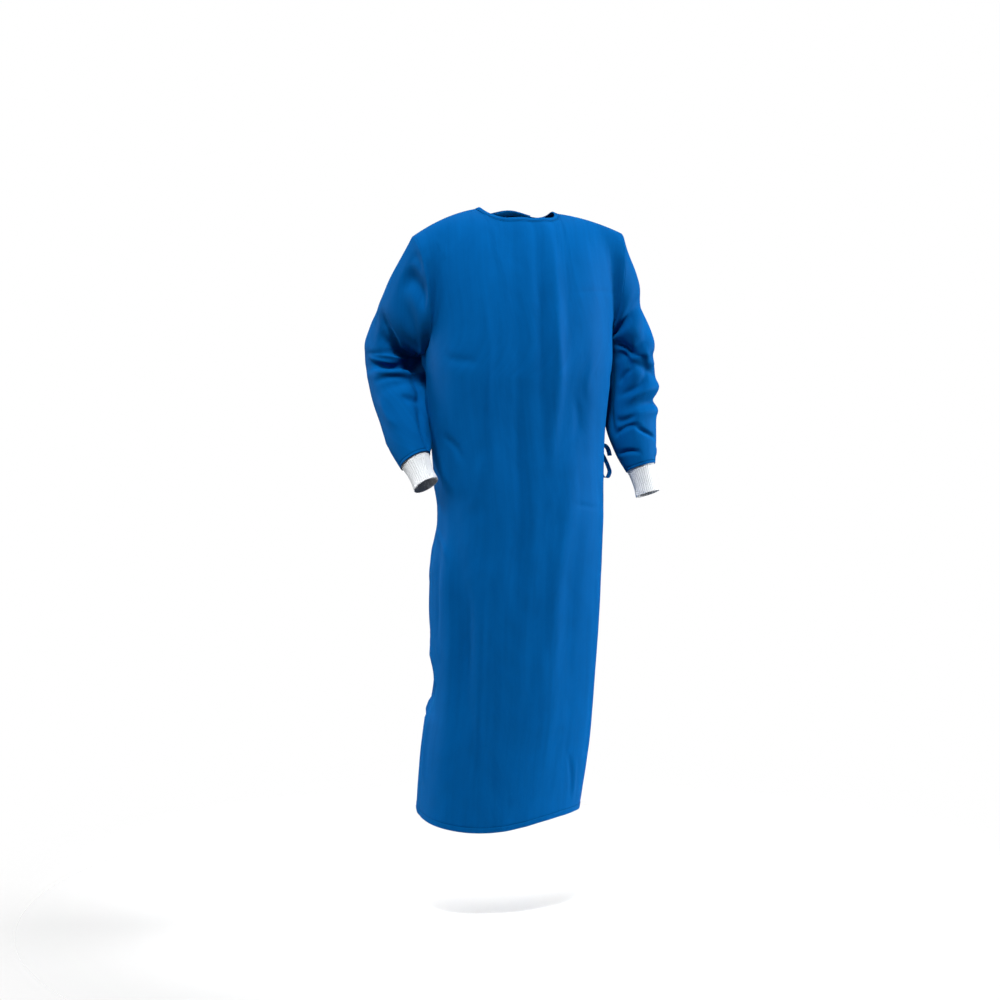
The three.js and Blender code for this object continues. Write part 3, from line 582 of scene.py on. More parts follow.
def neck_shares(start, end, count, down):
    """Columns that begin evenly round the neckline and end evenly across the chest"""
    step = np.linspace(0, 1, count + 1)
    turns = mix(math.asin(start / NECK_SHARE), math.asin(end / NECK_SHARE), step)
    return mix(NECK_SHARE * np.sin(turns), mix(start, end, step), ease(0, 1, down)[:, None])


def front_shares(down):
    """Columns of the front from its right side seam to its left, as shares"""
    beside = np.linspace(1, NECK_SHARE, FRONT_COLUMNS["shoulder"] + 1)[:-1]
    beside = np.tile(beside, (len(down), 1))
    neck = neck_shares(-NECK_SHARE, NECK_SHARE, FRONT_COLUMNS["neck"], down)
    return np.concatenate([-beside, neck, beside[:, ::-1]], axis=1)


def lap_reach(down):
    """How far a back panel reaches past the middle of the back"""
    upper = mix(LAP["neck"], LAP["chest"], down)
    return np.where(down < 1, upper, mix(LAP["chest"], LAP["hem"], down - 1))


def back_shares(down):
    """Columns of a back panel from its side seam to its free edge, as shares on the left"""
    beside = np.linspace(1, NECK_SHARE, BACK_COLUMNS["shoulder"] + 1)[:-1]
    count = BACK_COLUMNS["lap"]
    upper = neck_shares(NECK_SHARE, -LAP["neck"], count, down)
    reach = (lap_reach(down) - LAP["neck"])[:, None] * np.linspace(0, 1, count + 1)
    return np.concatenate([np.tile(beside, (len(down), 1)), upper - reach], axis=1)


def lap_lift(share, down):
    """The upper panel lifts clear of the lower between its seams and the lower's free edge"""
    begins = mix(-NECK_SHARE, -LAP_LIFT["begins"], ease(0, LAP_LIFT["full_by"], down))
    return LAP["stand_off"] * ease(begins, -lap_reach(down) - LAP["clear"], share)


def catmull_rom(points, at):
    """Smooth curves through rows of points, with the same pace through every row"""
    points = np.asarray(points, float)
    ends = [2 * points[:1] - points[1:2], points, 2 * points[-1:] - points[-2:-1]]
    padded = np.concatenate(ends)
    i = np.minimum(np.floor(at).astype(int), len(points) - 2)
    t = (at - i).reshape(-1, *[1] * (points.ndim - 1))
    a, b, c, d = (padded[i + k] for k in range(4))
    gap = [np.maximum(np.linalg.norm(q - p, axis=-1, keepdims=True), LEAST_GAP) ** 0.5
           for p, q in ((a, b), (b, c), (c, d))]
    leave = ((b - a) / gap[0] - (c - a) / (gap[0] + gap[1]) + (c - b) / gap[1]) * gap[1]
    arrive = ((c - b) / gap[1] - (d - b) / (gap[1] + gap[2]) + (d - c) / gap[2]) * gap[1]
    square = -3 * b + 3 * c - 2 * leave - arrive
    cube = 2 * b - 2 * c + leave + arrive
    return b + leave * t + square * t ** 2 + cube * t ** 3


def ring_places(ring, sign, angle):
    """Places round one ring of a sleeve"""
    outer = np.cos(angle)
    front = np.sin(angle)
    return place(ring["x"] + sign * ring["across"] * outer, ring["y"] - ring["deep"] * front,
                 ring["z"] + ring["outer_rise"] * outer + ring["front_rise"] * front)


def armhole(name, round_share):
    """Armhole seam from the underarm up one side, over the shoulder tip and down the other"""
    sign = SHOULDER[name]["sign"]
    down = np.abs(1 - 2 * round_share)
    rising = round_share <= 0.5
    share = np.full_like(round_share, float(sign))
    front = body_place("front", share, down)
    back = body_place("back", share, down)
    first, second = (front, back) if name == "left" else (back, front)
    return np.where(rising[:, None], first, second)


def sleeve_fold(name, station, angle):
    """Rise of the large folds of a sleeve"""
    turn = np.degrees(angle)
    rise = 0
    for fold in SLEEVE_FOLDS[name]:
        round_it = turn_between(turn, fold["turn"])
        along = (station - fold["at"] - fold["slope"] * round_it / 90) / fold["width"]
        rise = rise + fold["rise"] * np.exp(-along ** 2 - (round_it / fold["spread"]) ** 2)
    return rise


def sleeve_form(name):
    """Grid of a sleeve from armhole to wrist, its stations along it and angles round it"""
    rings = SLEEVES[name]
    sign = SHOULDER[name]["sign"]
    round_share = np.linspace(0, 1, SLEEVE_COLUMNS + 1)
    angle = np.pi - sign * 2 * np.pi * round_share
    guides = [armhole(name, round_share)] + [ring_places(ring, sign, angle) for ring in rings]
    station = np.linspace(0, len(rings), SLEEVE_ROWS + 1)
    plain = catmull_rom(guides, station)
    wrist = len(rings)
    held = ease(0, SLEEVE_HELD["armhole"], station)
    held = held * (1 - ease(wrist - SLEEVE_HELD["wrist"], wrist, station))
    rise = held[:, None] * sleeve_fold(name, station[:, None], angle[None, :])
    return plain + out_of_cloth(plain, wraps=True) * rise[..., None], station, angle


def creased(across, height, creases):
    """Rise of soft troughs and ridges that wander a little along straight runs of the cloth"""
    rise = 0
    for crease in creases:
        begins = np.array([crease["across"], crease["top"]])
        run = np.array([crease["foot_across"], crease["foot"]]) - begins
        length = np.hypot(*run)
        share = ((across - begins[0]) * run[0] + (height - begins[1]) * run[1]) / length ** 2
        aside = ((across - begins[0]) * run[1] - (height - begins[1]) * run[0]) / length
        wander = CREASE_RUN["wander"] * np.sin(CREASE_RUN["waves"] * share + begins[1])
        aside = aside / crease["width"] + wander
        fades = ease(0, CREASE_RUN["fade"], share) * (1 - ease(1 - CREASE_RUN["fade"], 1, share))
        rise = rise + crease["rise"] * fades * np.exp(-aside ** 2)
    return rise


def sleeve_creased(name, station, angle):
    """Creases of a sleeve, laid out flat with its rings and turns made millimetres"""
    flat = []
    for crease in SLEEVE_CREASES[name]:
        flat.append({
            "across": crease["turn"] * MM_PER_DEGREE,
            "top": -crease["at"] * RING_SPACING,
            "foot_across": crease["end_turn"] * MM_PER_DEGREE,
            "foot": -crease["end_at"] * RING_SPACING,
            "width": crease["width"],
            "rise": crease["rise"],
        })
    turn = turn_between(np.degrees(angle), MIDDLE_TURN) + MIDDLE_TURN
    return creased(turn * MM_PER_DEGREE, -station * RING_SPACING, flat)


def dents(across, down, seed):
    """Small uneven dents of handled cloth"""
    rise = np.zeros(across.size)
    for dent in DENTS:
        level = seed + dent["seed"]
        spots = zip(across.ravel() / dent["across"], down.ravel() / dent["down"])
        rise += dent["deep"] * np.array([noise.noise(Vector((u, v, level))) for u, v in spots])
    return rise.reshape(across.shape)


def pucker(from_seam, along, seed):
    """Ripples beside a sewn seam"""
    waves = [noise.noise(Vector((spot / PUCKER["length"], seed, 0.5))) for spot in along.ravel()]
    near = from_seam / PUCKER["reach"]
    return PUCKER["rise"] * near * np.exp(1 - near) * np.array(waves).reshape(along.shape)


def lift(grid, rise, wraps=False):
    """Moves a grid out of its own cloth"""
    return grid + out_of_cloth(grid, wraps) * rise[..., None]


def cell_out(tube):
    """Outward normals of the cells of a tube, whose last column joins its first"""
    ring = np.concatenate([tube, tube[:, :1]], axis=1)
    out = np.cross(ring[1:, :-1] - ring[:-1, 1:], ring[1:, 1:] - ring[:-1, :-1])
    return out / np.maximum(np.linalg.norm(out, axis=-1, keepdims=True), LEAST_LENGTH)


def settle(grid, plain):
    """Relaxes the few places of a tube where crossing creases would turn the cloth over"""
    tube = grid[:, :-1].copy()
    plain_out = cell_out(plain[:, :-1])
    for _ in range(SETTLE["passes"]):
        turned = (cell_out(tube) * plain_out).sum(-1) < SETTLE["least"]
        turned |= np.roll(turned, 1, axis=1)
        loose = turned[1:] | turned[:-1]
        beside = np.roll(tube, 1, axis=1) + np.roll(tube, -1, axis=1)
        middle = (beside[1:-1] + tube[2:] + tube[:-2]) / 4
        tube[1:-1] = np.where(loose[..., None], middle, tube[1:-1])
    return np.concatenate([tube, tube[:, :1]], axis=1)


def soften_below_neck_point(grid, column):
    """Rounds off the slight ridge that runs down the cloth from a neck point"""
    near = slice(column - NECK_POINT["columns"], column + NECK_POINT["columns"] + 1)
    for _ in range(NECK_POINT["passes"]):
        band = grid[2:, near]
        band[:, 1:-1] = (band[:, :-2] + 2 * band[:, 1:-1] + band[:, 2:]) / 4


def ease_beside_armhole(grid, from_last=False):
    """Draws the cloth straighter between the armhole seam and the chest"""
    edge = grid[:YOKE_ROWS, ::-1] if from_last else grid[:YOKE_ROWS]
    band = edge[:, :ARMHOLE_EASE["columns"]]
    fade = ease(0, ARMHOLE_EASE["fade"], np.linspace(1, 0, YOKE_ROWS))[:, None, None]
    for _ in range(ARMHOLE_EASE["passes"]):
        middle = (band[:, :-2] + 2 * band[:, 1:-1] + band[:, 2:]) / 4
        band[:, 1:-1] = mix(band[:, 1:-1], middle, fade)


def front_sheet(down):
    """Form of the front, and the rise of its creases, dents and pucker"""
    share = front_shares(down)
    grid = body_place("front", share, np.broadcast_to(down[:, None], share.shape))
    ease_beside_armhole(grid)
    ease_beside_armhole(grid, from_last=True)
    soften_below_neck_point(grid, FRONT_COLUMNS["shoulder"])
    soften_below_neck_point(grid, FRONT_COLUMNS["shoulder"] + FRONT_COLUMNS["neck"])
    run = run_of(grid, 1)
    fall = run_of(grid, 0)
    across = run - run[:, [run.shape[1] // 2]]
    from_side = np.minimum(run, run[:, [-1]] - run)
    held = ease(0, SEAM_HOLDS, np.minimum(from_side, fall))
    rise = creased(across, grid[..., 2], CREASES["front"]) + dents(across, fall, DENT_SEEDS["front"])
    return grid, held * rise + pucker(from_side, fall, PUCKER_SEEDS["front"])


def back_sheet(name, down):
    """Form of a back panel, and the rise of its creases, dents and pucker"""
    share = back_shares(down)
    wide_down = np.broadcast_to(down[:, None], share.shape)
    if name == "back_right":
        share = -share
    grid = body_place("back", share, wide_down)
    soften_below_neck_point(grid, BACK_COLUMNS["shoulder"])
    from_side = run_of(grid, 1)
    fall = run_of(grid, 0)
    held = ease(0, SEAM_HOLDS, np.minimum(from_side, fall))
    rise = creased(from_side, grid[..., 2], CREASES[name]) + dents(from_side, fall, DENT_SEEDS[name])
    rise = held * rise + pucker(from_side, fall, PUCKER_SEEDS["back"])
    if name == "back_right":
        rise = rise + lap_lift(share, wide_down)
        return grid[:, ::-1], rise[:, ::-1]
    return grid, rise


def sleeve_sheet(name):
    """Form of a sleeve, and the rise of its creases and dents"""
    grid, station, angle = sleeve_form(name)
    fall = run_of(grid, 0)
    to_wrist = fall[-1] - fall
    held = ease(0, SEAM_HOLDS, np.minimum(fall, to_wrist))
    rise = sleeve_creased(name, station[:, None], angle[None, :])
    from_outer = np.abs(turn_between(np.degrees(angle), 0)) * MM_PER_DEGREE
    from_outer = np.broadcast_to(from_outer, fall.shape)
    rise = rise + SLEEVE_DENTS * dents(from_outer, fall, DENT_SEEDS["sleeve"])
    return grid, held * rise


def hem_turned_up(grid, rise):
    """The hem is folded double, so it stands a little proud of the cloth above"""
    fall = run_of(grid, 0)
    return rise + HEM["proud"] * ((fall[-1] - fall) < HEM["fold"])


def lay_out_flat(bm, grid):
    """Two UV maps in metres: down from the first row of the cloth, and up from its last"""
    across = run_of(grid, 1)
    fall = run_of(grid, 0)
    for title, down in (("cloth", fall), ("edge", fall[-1] - fall)):
        layer = bm.loops.layers.uv.new(title)
        flat = np.stack([across.ravel(), down.ravel()], axis=1) * MM
        for face in bm.faces:
            for loop in face.loops:
                loop[layer].uv = flat[loop.vert.index]


def sheet_of_cloth(node, grid, closed=False):
    """Cuts a flat grid of cloth and hangs it on its places"""
    rows, columns = grid.shape[:2]
    bm = bmesh.new()
    bmesh.ops.create_grid(bm, x_segments=columns - 1, y_segments=rows - 1, size=0.5)
    bm.verts.ensure_lookup_table()
    bm.verts.index_update()
    lay_out_flat(bm, grid)
    for vert, spot in zip(bm.verts, grid.reshape(-1, 3) * MM):
        vert.co = spot
    if closed:
        bmesh.ops.remove_doubles(bm, verts=bm.verts, dist=SAME_PLACE)
    bmesh.ops.reverse_faces(bm, faces=bm.faces)
    for face in bm.faces:
        face.smooth = True
    mesh = bpy.data.meshes.new(node + "_sheet")
    bm.to_mesh(mesh)
    bm.free()
    piece = bpy.data.objects.new(node + "_sheet", mesh)
    bpy.context.scene.collection.objects.link(piece)
    return piece


def wear(piece, node, thick, material):
    """Gives a sheet its thickness and cloth, and puts it on the gown in place of its solid"""
    wall = piece.modifiers.new("cloth thickness", "SOLIDIFY")
    wall.thickness = thick * MM
    wall.offset = -1
    piece.data.materials.append(material)
    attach(piece, "root")
    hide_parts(node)


def neck_edge(panels):
    """Neckline from the upper back panel's free edge round to the lower one's"""
    shoulder, neck = FRONT_COLUMNS["shoulder"], FRONT_COLUMNS["neck"]
    lap = BACK_COLUMNS["lap"]
    parts = (
        (panels["back_right"], slice(0, lap)),
        (panels["front"], slice(shoulder, shoulder + neck + 1)),
        (panels["back_left"], slice(BACK_COLUMNS["shoulder"] + 1, None)),
    )
    line = np.concatenate([grid[0, columns] for grid, columns in parts])
    out = np.concatenate([out_of_cloth(grid)[0, columns] for grid, columns in parts])
    for _ in range(BINDING["passes"]):
        out[1:-1] = (out[:-2] + 2 * out[1:-1] + out[2:]) / 4
    return line, out / np.linalg.norm(out, axis=1, keepdims=True)


def binding_sheet(line, out):
    """Tape folded over the neckline"""
    along = np.gradient(line, axis=0)
    to_neck = np.cross(out, along)
    to_neck /= np.linalg.norm(to_neck, axis=1, keepdims=True)
    profile = np.array(BINDING_FOLD, float)
    profile = catmull_rom(profile, np.linspace(0, len(profile) - 1, BINDING["rows"]))
    past = profile[:, 0][:, None, None]
    proud = profile[:, 1][:, None, None]
    return line + to_neck * past + out * proud


def cuff_sheet(name):
    """Ribbed tube of knit on the sleeve's end"""
    before, end = SLEEVES[name][-2:]
    sign = SHOULDER[name]["sign"]
    middle = np.array([end["x"], end["y"], end["z"]], float)
    axis = middle - np.array([before["x"], before["y"], before["z"]], float)
    axis /= np.linalg.norm(axis)
    count = RIB["count"] * RIB["points"]
    round_share = np.linspace(0, 1, count + 1)
    spokes = ring_places(end, sign, np.pi - sign * 2 * np.pi * round_share) - middle
    lengths = np.linalg.norm(spokes, axis=1, keepdims=True)
    row = np.linspace(0, len(CUFF["along"]) - 1, RIB["rows"])
    rings = catmull_rom(np.array([CUFF["along"], CUFF["size"]], float).T, row)
    along, size = rings[:, 0][:, None, None], rings[:, 1][:, None, None]
    furrow = RIB["height"] * (0.5 - 0.5 * np.cos(2 * np.pi * RIB["count"] * round_share)) ** 2
    radius = size * lengths - furrow[:, None]
    return middle + axis * along + spokes / lengths * radius


def bow_place(route):
    """Places in the bow's own axes: away from the body, towards the back and up"""
    turn = np.radians(BOW["turn"])
    out = np.array([np.sin(turn), -np.cos(turn), 0])
    back = np.array([np.cos(turn), np.sin(turn), 0])
    route = np.asarray(route, float)
    return route[..., :1] * out + route[..., 1:2] * back + route[..., 2:] * np.array([0, 0, 1.0])


def bow_middle():
    """Middle of the bow, a little off the body"""
    on_body = body_ring(np.array(float(BOW["turn"])), np.array(float(BOW["z"])))
    return on_body + bow_place((BOW["stand_off"], 0, 0))


def tape_along(middle, flat):
    """Flat tape on a route, a little cupped across its width"""
    along = np.gradient(middle, axis=0)
    along /= np.linalg.norm(along, axis=1, keepdims=True)
    across = flat - along * (along @ flat)[:, None]
    across /= np.linalg.norm(across, axis=1, keepdims=True)
    up = np.cross(along, across)
    side = np.linspace(-0.5, 0.5, TAPE["columns"] + 1)
    cup = TAPE["cup"] * (2 * side) ** 2
    aside = across[:, None] * (side * TAPE["width"])[:, None]
    return middle[:, None] + aside - up[:, None] * cup[:, None]


def strand_sheet(name):
    """One loop or free end of the bow"""
    strand = STRANDS[name]
    route = bow_place(strand["route"]) + bow_middle()
    steps = np.linspace(0, len(route) - 1, TAPE["rows"] + 1)
    return tape_along(catmull_rom(route, steps), bow_place(strand["flat"]))


def lapped_place(share, down, extra):
    """Places over the upper back panel's level, moved out of its cloth"""
    step = SLOPE_STEP
    fall = body_place("back", share, down + step) - body_place("back", share, down - step)
    along = body_place("back", share + step, down) - body_place("back", share - step, down)
    out = -np.cross(fall, along)
    out /= np.linalg.norm(out, axis=-1, keepdims=True)
    return body_place("back", share, down) + out * (lap_lift(share, down) + extra)[..., None]


def down_to_bow(share):
    """How far down the back the bow's height is"""
    chest = chest_height(share)
    return 1 + (chest - BOW["z"]) / (chest - hem_height(turn_at("back", share)))


def tie_band_sheet():
    """Tape from the upper back panel's free edge forward to the bow"""
    start = float(lap_reach(down_to_bow(np.array(0.0)))) - BOW["band_tuck"]
    end = (180 - BOW["turn"] - BOW["band_end"]) / (180 - SIDE_SEAM)
    share = np.linspace(start, end, TAPE["rows"] + 1)
    middle = lapped_place(share, down_to_bow(share), np.full(share.shape, TAPE["lift"]))
    return tape_along(middle, np.array([0, 0, -1.0]))


def knot_sheet():
    """A turn of tape drawn tight round the middle of the bow, fullest in its middle"""
    turn = np.linspace(0, 2 * np.pi, KNOT["rows"] + 1)[:, None]
    side = np.linspace(-KNOT["end"], KNOT["end"], KNOT["columns"] + 1)[None, :]
    lumps = KNOT_LUMPS["rise"] * np.cos(KNOT_LUMPS["count"] * turn + KNOT_LUMPS["twist"] * side)
    full = np.sqrt(1 - side ** 2) * (1 - lumps)
    out = KNOT["out"] * np.cos(turn) * full
    up = KNOT["up"] * np.sin(turn) * full
    route = place(out, KNOT["back"] * side, up)
    return bow_place(route) + bow_middle()


def neck_tab_sheet():
    """Short tab across the upper back panel's free edge, below the neckline"""
    share = np.linspace(NECK_TAB["start"], NECK_TAB["end"], TAB_GRID["columns"] + 1)
    down = np.linspace(NECK_TAB["top"], NECK_TAB["foot"], TAB_GRID["rows"] + 1)
    share, down = np.meshgrid(share, down)
    return lapped_place(share, down, np.full(share.shape, NECK_TAB["lift"]))


def feed(tree, socket, value):
    """Gives a socket another socket's value, or a number"""
    if isinstance(value, bpy.types.NodeSocket):
        tree.links.new(value, socket)
    else:
        socket.default_value = value


def add(tree, kind, **settings):
    """A new node with its settings"""
    made = tree.nodes.new(kind)
    for title, value in settings.items():
        setattr(made, title, value)
    return made


def calc(tree, operation, *values):
    """Result of one step of reckoning"""
    made = add(tree, "ShaderNodeMath", operation=operation)
    for socket, value in zip(made.inputs, values):
        feed(tree, socket, value)
    return made.outputs[0]


def spaced(tree, cloth, across, down):
    """The cloth's map with its own number of steps to a metre"""
    made = add(tree, "ShaderNodeVectorMath", operation="MULTIPLY")
    feed(tree, made.inputs[0], cloth)
    made.inputs[1].default_value = (across, down, 1)
    return made.outputs[0]


def speckle(tree, cloth, name):
    """Specks of one kind, from half below their middle to half above"""
    where = spaced(tree, cloth, *SPECKS[name]["per_metre"])
    spots = add(tree, "ShaderNodeTexNoise")
    spots.inputs["Scale"].default_value = 1
    spots.inputs["Detail"].default_value = SPECKS[name]["detail"]
    spots.inputs["Roughness"].default_value = SPECK_ROUGHNESS
    tree.links.new(where, spots.inputs["Vector"])
    return calc(tree, "SUBTRACT", spots.outputs["Fac"], 0.5)


def bond_points(tree, cloth):
    """Mask of the small points at which the fibres are bonded"""
    where = spaced(tree, cloth, BOND["per_metre"], BOND["per_metre"])
    cells = add(tree, "ShaderNodeTexVoronoi", voronoi_dimensions="2D")
    cells.inputs["Scale"].default_value = 1
    cells.inputs["Randomness"].default_value = BOND["uneven"]
    tree.links.new(where, cells.inputs["Vector"])
    return calc(tree, "LESS_THAN", cells.outputs["Distance"], BOND["radius"])


def new_group(title, given, gives):
    """A shader group's tree, with what it is given and the sockets of what it gives"""
    tree = bpy.data.node_groups.new(title, "ShaderNodeTree")
    for name, kind in given:
        tree.interface.new_socket(name, in_out="INPUT", socket_type=kind)
    for name in gives:
        tree.interface.new_socket(name, in_out="OUTPUT", socket_type="NodeSocketFloat")
    return tree, add(tree, "NodeGroupInput").outputs, add(tree, "NodeGroupOutput").inputs


def non_woven_group():
    """Bonded fibres: cloudy tone, faint streaks along the roll, fine crinkle and bond points"""
    tree, given, gives = new_group("non-woven", [("Cloth", "NodeSocketVector")], ("Tone", "Height"))
    cloth = given["Cloth"]
    specks = {name: speckle(tree, cloth, name) for name in ("fibres", "clouds", "streaks", "crinkle")}
    points = bond_points(tree, cloth)
    tone = MIDDLE_TONE
    for name in ("fibres", "clouds", "streaks"):
        tone = calc(tree, "MULTIPLY_ADD", specks[name], SPECKS[name]["tone"], tone)
    tone = calc(tree, "MULTIPLY_ADD", points, BOND["tone"], tone)
    tone = calc(tree, "MINIMUM", calc(tree, "MAXIMUM", tone, 0), 1)
    tree.links.new(tone, gives["Tone"])
    height = 0
    for name, share in CLOTH_HEIGHT.items():
        height = calc(tree, "MULTIPLY_ADD", specks[name], share, height)
    tree.links.new(calc(tree, "MULTIPLY_ADD", points, BOND["height"], height), gives["Height"])
    return tree


def stitch_group():
    """A row of thread dashes at a distance from an edge, each sunk in a shallow furrow"""
    given = [("Edge", "NodeSocketVector"), ("Row", "NodeSocketFloat")]
    tree, given, gives = new_group("stitches", given, ("Thread", "Furrow"))
    parts = add(tree, "ShaderNodeSeparateXYZ")
    tree.links.new(given["Edge"], parts.inputs[0])
    aside = calc(tree, "ABSOLUTE", calc(tree, "SUBTRACT", parts.outputs["Y"], given["Row"]))
    step = calc(tree, "FRACT", calc(tree, "DIVIDE", parts.outputs["X"], STITCH["pitch"]))
    from_middle = calc(tree, "ABSOLUTE", calc(tree, "SUBTRACT", step, 0.5))
    on_dash = calc(tree, "LESS_THAN", from_middle, STITCH["dash"] / 2)
    on_row = calc(tree, "LESS_THAN", aside, STITCH["thread"] / 2)
    tree.links.new(calc(tree, "MULTIPLY", on_dash, on_row), gives["Thread"])
    near = calc(tree, "SUBTRACT", 1, calc(tree, "DIVIDE", aside, STITCH["furrow"]))
    near = calc(tree, "MAXIMUM", near, 0)
    least = STITCH["least_deep"]
    deep = calc(tree, "MULTIPLY_ADD", on_dash, least - 1, -least)
    tree.links.new(calc(tree, "MULTIPLY", near, deep), gives["Furrow"])
    return tree


def knit_group():
    """Loops of knit: columns of small Vs, with a tone of random fluff that is darker in the hollows
    between the loops as painted shade
    """
    tree, given, gives = new_group("rib knit", [("Cloth", "NodeSocketVector")], ("Tone", "Height"))
    parts = add(tree, "ShaderNodeSeparateXYZ")
    tree.links.new(given["Cloth"], parts.inputs[0])
    column = calc(tree, "FRACT", calc(tree, "DIVIDE", parts.outputs["X"], KNIT["column"]))
    slant = calc(tree, "ABSOLUTE", calc(tree, "SUBTRACT", column, 0.5))
    course = calc(tree, "DIVIDE", parts.outputs["Y"], KNIT["course"])
    course = calc(tree, "MULTIPLY_ADD", slant, KNIT["slant"], course)
    loops = calc(tree, "ABSOLUTE", calc(tree, "SINE", calc(tree, "MULTIPLY", course, math.pi)))
    arms = calc(tree, "SINE", calc(tree, "MULTIPLY", slant, 2 * math.pi))
    height = calc(tree, "MULTIPLY", loops, arms)
    tree.links.new(height, gives["Height"])
    fluff = speckle(tree, given["Cloth"], "fluff")
    tone = calc(tree, "MULTIPLY_ADD", fluff, SPECKS["fluff"]["tone"], KNIT["painted_hollow_shade"])
    # Painted shade: the tone falls with the loops' height, so the hollows between loops are darker
    tone = calc(tree, "MULTIPLY_ADD", height, KNIT["tone"], tone)
    tree.links.new(calc(tree, "MINIMUM", tone, 1), gives["Tone"])
    return tree


def use_group(tree, group, **given):
    """Places a group in a material and gives it its values"""
    made = add(tree, "ShaderNodeGroup", node_tree=group)
    for title, value in given.items():
        feed(tree, made.inputs[title], value)
    return made.outputs


def two_tones(tree, share, low, high):
    """Colour between two others"""
    made = add(tree, "ShaderNodeMix", data_type="RGBA")
    feed(tree, made.inputs["Factor"], share)
    for socket, value in (("A", low), ("B", high)):
        colour = next(s for s in made.inputs if s.name == socket and s.type == "RGBA")
        feed(tree, colour, value)
    return next(s for s in made.outputs if s.type == "RGBA")


def raised(tree, height, relief, before=None):
    """Normal of a surface with one kind of relief, on top of what was raised before"""
    distance, strength = RELIEF[relief]
    bump = add(tree, "ShaderNodeBump")
    bump.inputs["Distance"].default_value = distance
    bump.inputs["Strength"].default_value = strength
    feed(tree, bump.inputs["Height"], height)
    if before:
        tree.links.new(before, bump.inputs["Normal"])
    return bump.outputs["Normal"]


def new_material(title, roughness, specular, sheen, gloss):
    """A material with a plain finish, its tree and the sockets of its shader"""
    material = bpy.data.materials.new(title)
    material.use_nodes = True
    tree = material.node_tree
    shader = tree.nodes["Principled BSDF"]
    shader.inputs["Roughness"].default_value = roughness
    shader.inputs["Specular IOR Level"].default_value = specular
    shader.inputs["Sheen Weight"].default_value = sheen
    shader.inputs["Sheen Roughness"].default_value = SHEEN_ROUGHNESS
    shader.inputs["Sheen Tint"].default_value = gloss
    shader.inputs["Specular Tint"].default_value = gloss
    return material, tree, shader.inputs


def from_the_side(tree, edge):
    """An edge map whose two directions are swapped"""
    parts = add(tree, "ShaderNodeSeparateXYZ")
    swapped = add(tree, "ShaderNodeCombineXYZ")
    tree.links.new(edge, parts.inputs[0])
    tree.links.new(parts.outputs["X"], swapped.inputs["Y"])
    tree.links.new(parts.outputs["Y"], swapped.inputs["X"])
    return swapped.outputs[0]


def blue_cloth(title, groups, stitch_row, along_tape=False):
    """Blue non-woven cloth with a row of stitches beside one edge"""
    material, tree, shader = new_material(title, **CLOTH_FINISH)
    cloth = add(tree, "ShaderNodeUVMap", uv_map="cloth").outputs["UV"]
    edge = add(tree, "ShaderNodeUVMap", uv_map="edge").outputs["UV"]
    if along_tape:
        edge = from_the_side(tree, edge)
    weave = use_group(tree, groups["non_woven"], Cloth=cloth)
    sewn = use_group(tree, groups["stitches"], Edge=edge, Row=stitch_row)
    colour = two_tones(tree, weave["Tone"], BLUE["deep"], BLUE["light"])
    colour = two_tones(tree, sewn["Thread"], colour, BLUE["thread"])
    tree.links.new(colour, shader["Base Color"])
    rough = raised(tree, weave["Height"], "cloth")
    tree.links.new(raised(tree, sewn["Furrow"], "stitches", rough), shader["Normal"])
    return material


def white_knit(groups):
    """White rib knit of the cuffs, its colour darker in the hollows between its loops as painted
    shade
    """
    material, tree, shader = new_material("white rib knit", **KNIT_FINISH)
    cloth = add(tree, "ShaderNodeUVMap", uv_map="cloth").outputs["UV"]
    knit = use_group(tree, groups["knit"], Cloth=cloth)
    colour = two_tones(tree, knit["Tone"], WHITE["deep"], WHITE["light"])
    tree.links.new(colour, shader["Base Color"])
    tree.links.new(raised(tree, knit["Height"], "knit"), shader["Normal"])
    return material


def sew_body(cloth):
    """The front and both back panels, with the hem turned up"""
    down = downs()
    shaped = {"front": front_sheet(down)}
    for name in ("back_left", "back_right"):
        shaped[name] = back_sheet(name, down)
    panels = {name: lift(grid, hem_turned_up(grid, rise)) for name, (grid, rise) in shaped.items()}
    for name, grid in panels.items():
        wear(sheet_of_cloth(name, grid), name, CLOTH, cloth)
    return panels


def sew_sleeve(side, cloth, knit):
    """A sleeve and the cuff on its end"""
    sleeve, cuff = "sleeve_" + side, "cuff_" + side
    grid, rise = sleeve_sheet(side)
    creased_grid = settle(lift(grid, rise, wraps=True), grid)
    tube = sheet_of_cloth(sleeve, creased_grid, closed=True)
    wear(tube, sleeve, CLOTH, cloth)
    ribs = sheet_of_cloth(cuff, cuff_sheet(side), closed=True)
    wear(ribs, cuff, RIB["wall"] - RIB["height"], knit)


def sew_neck(panels, cloth):
    """The binding round the neckline and the tab behind it"""
    line, out = neck_edge(panels)
    binding = sheet_of_cloth("neck_binding", binding_sheet(line, out))
    wear(binding, "neck_binding", BINDING["thick"], cloth)
    tab = sheet_of_cloth("neck_tab", neck_tab_sheet())
    wear(tab, "neck_tab", CLOTH, cloth)


def tie_bow(cloth):
    """The waist tie: its band, its knot, and the loops and free ends of its bow"""
    thick = TAPE["thick"]
    band = sheet_of_cloth("tie_band", tie_band_sheet())
    wear(band, "tie_band", thick, cloth)
    knot = sheet_of_cloth("tie_knot", knot_sheet(), closed=True)
    wear(knot, "tie_knot", thick, cloth)
    for name in STRANDS:
        strand = sheet_of_cloth(name, strand_sheet(name))
        wear(strand, name, thick, cloth)


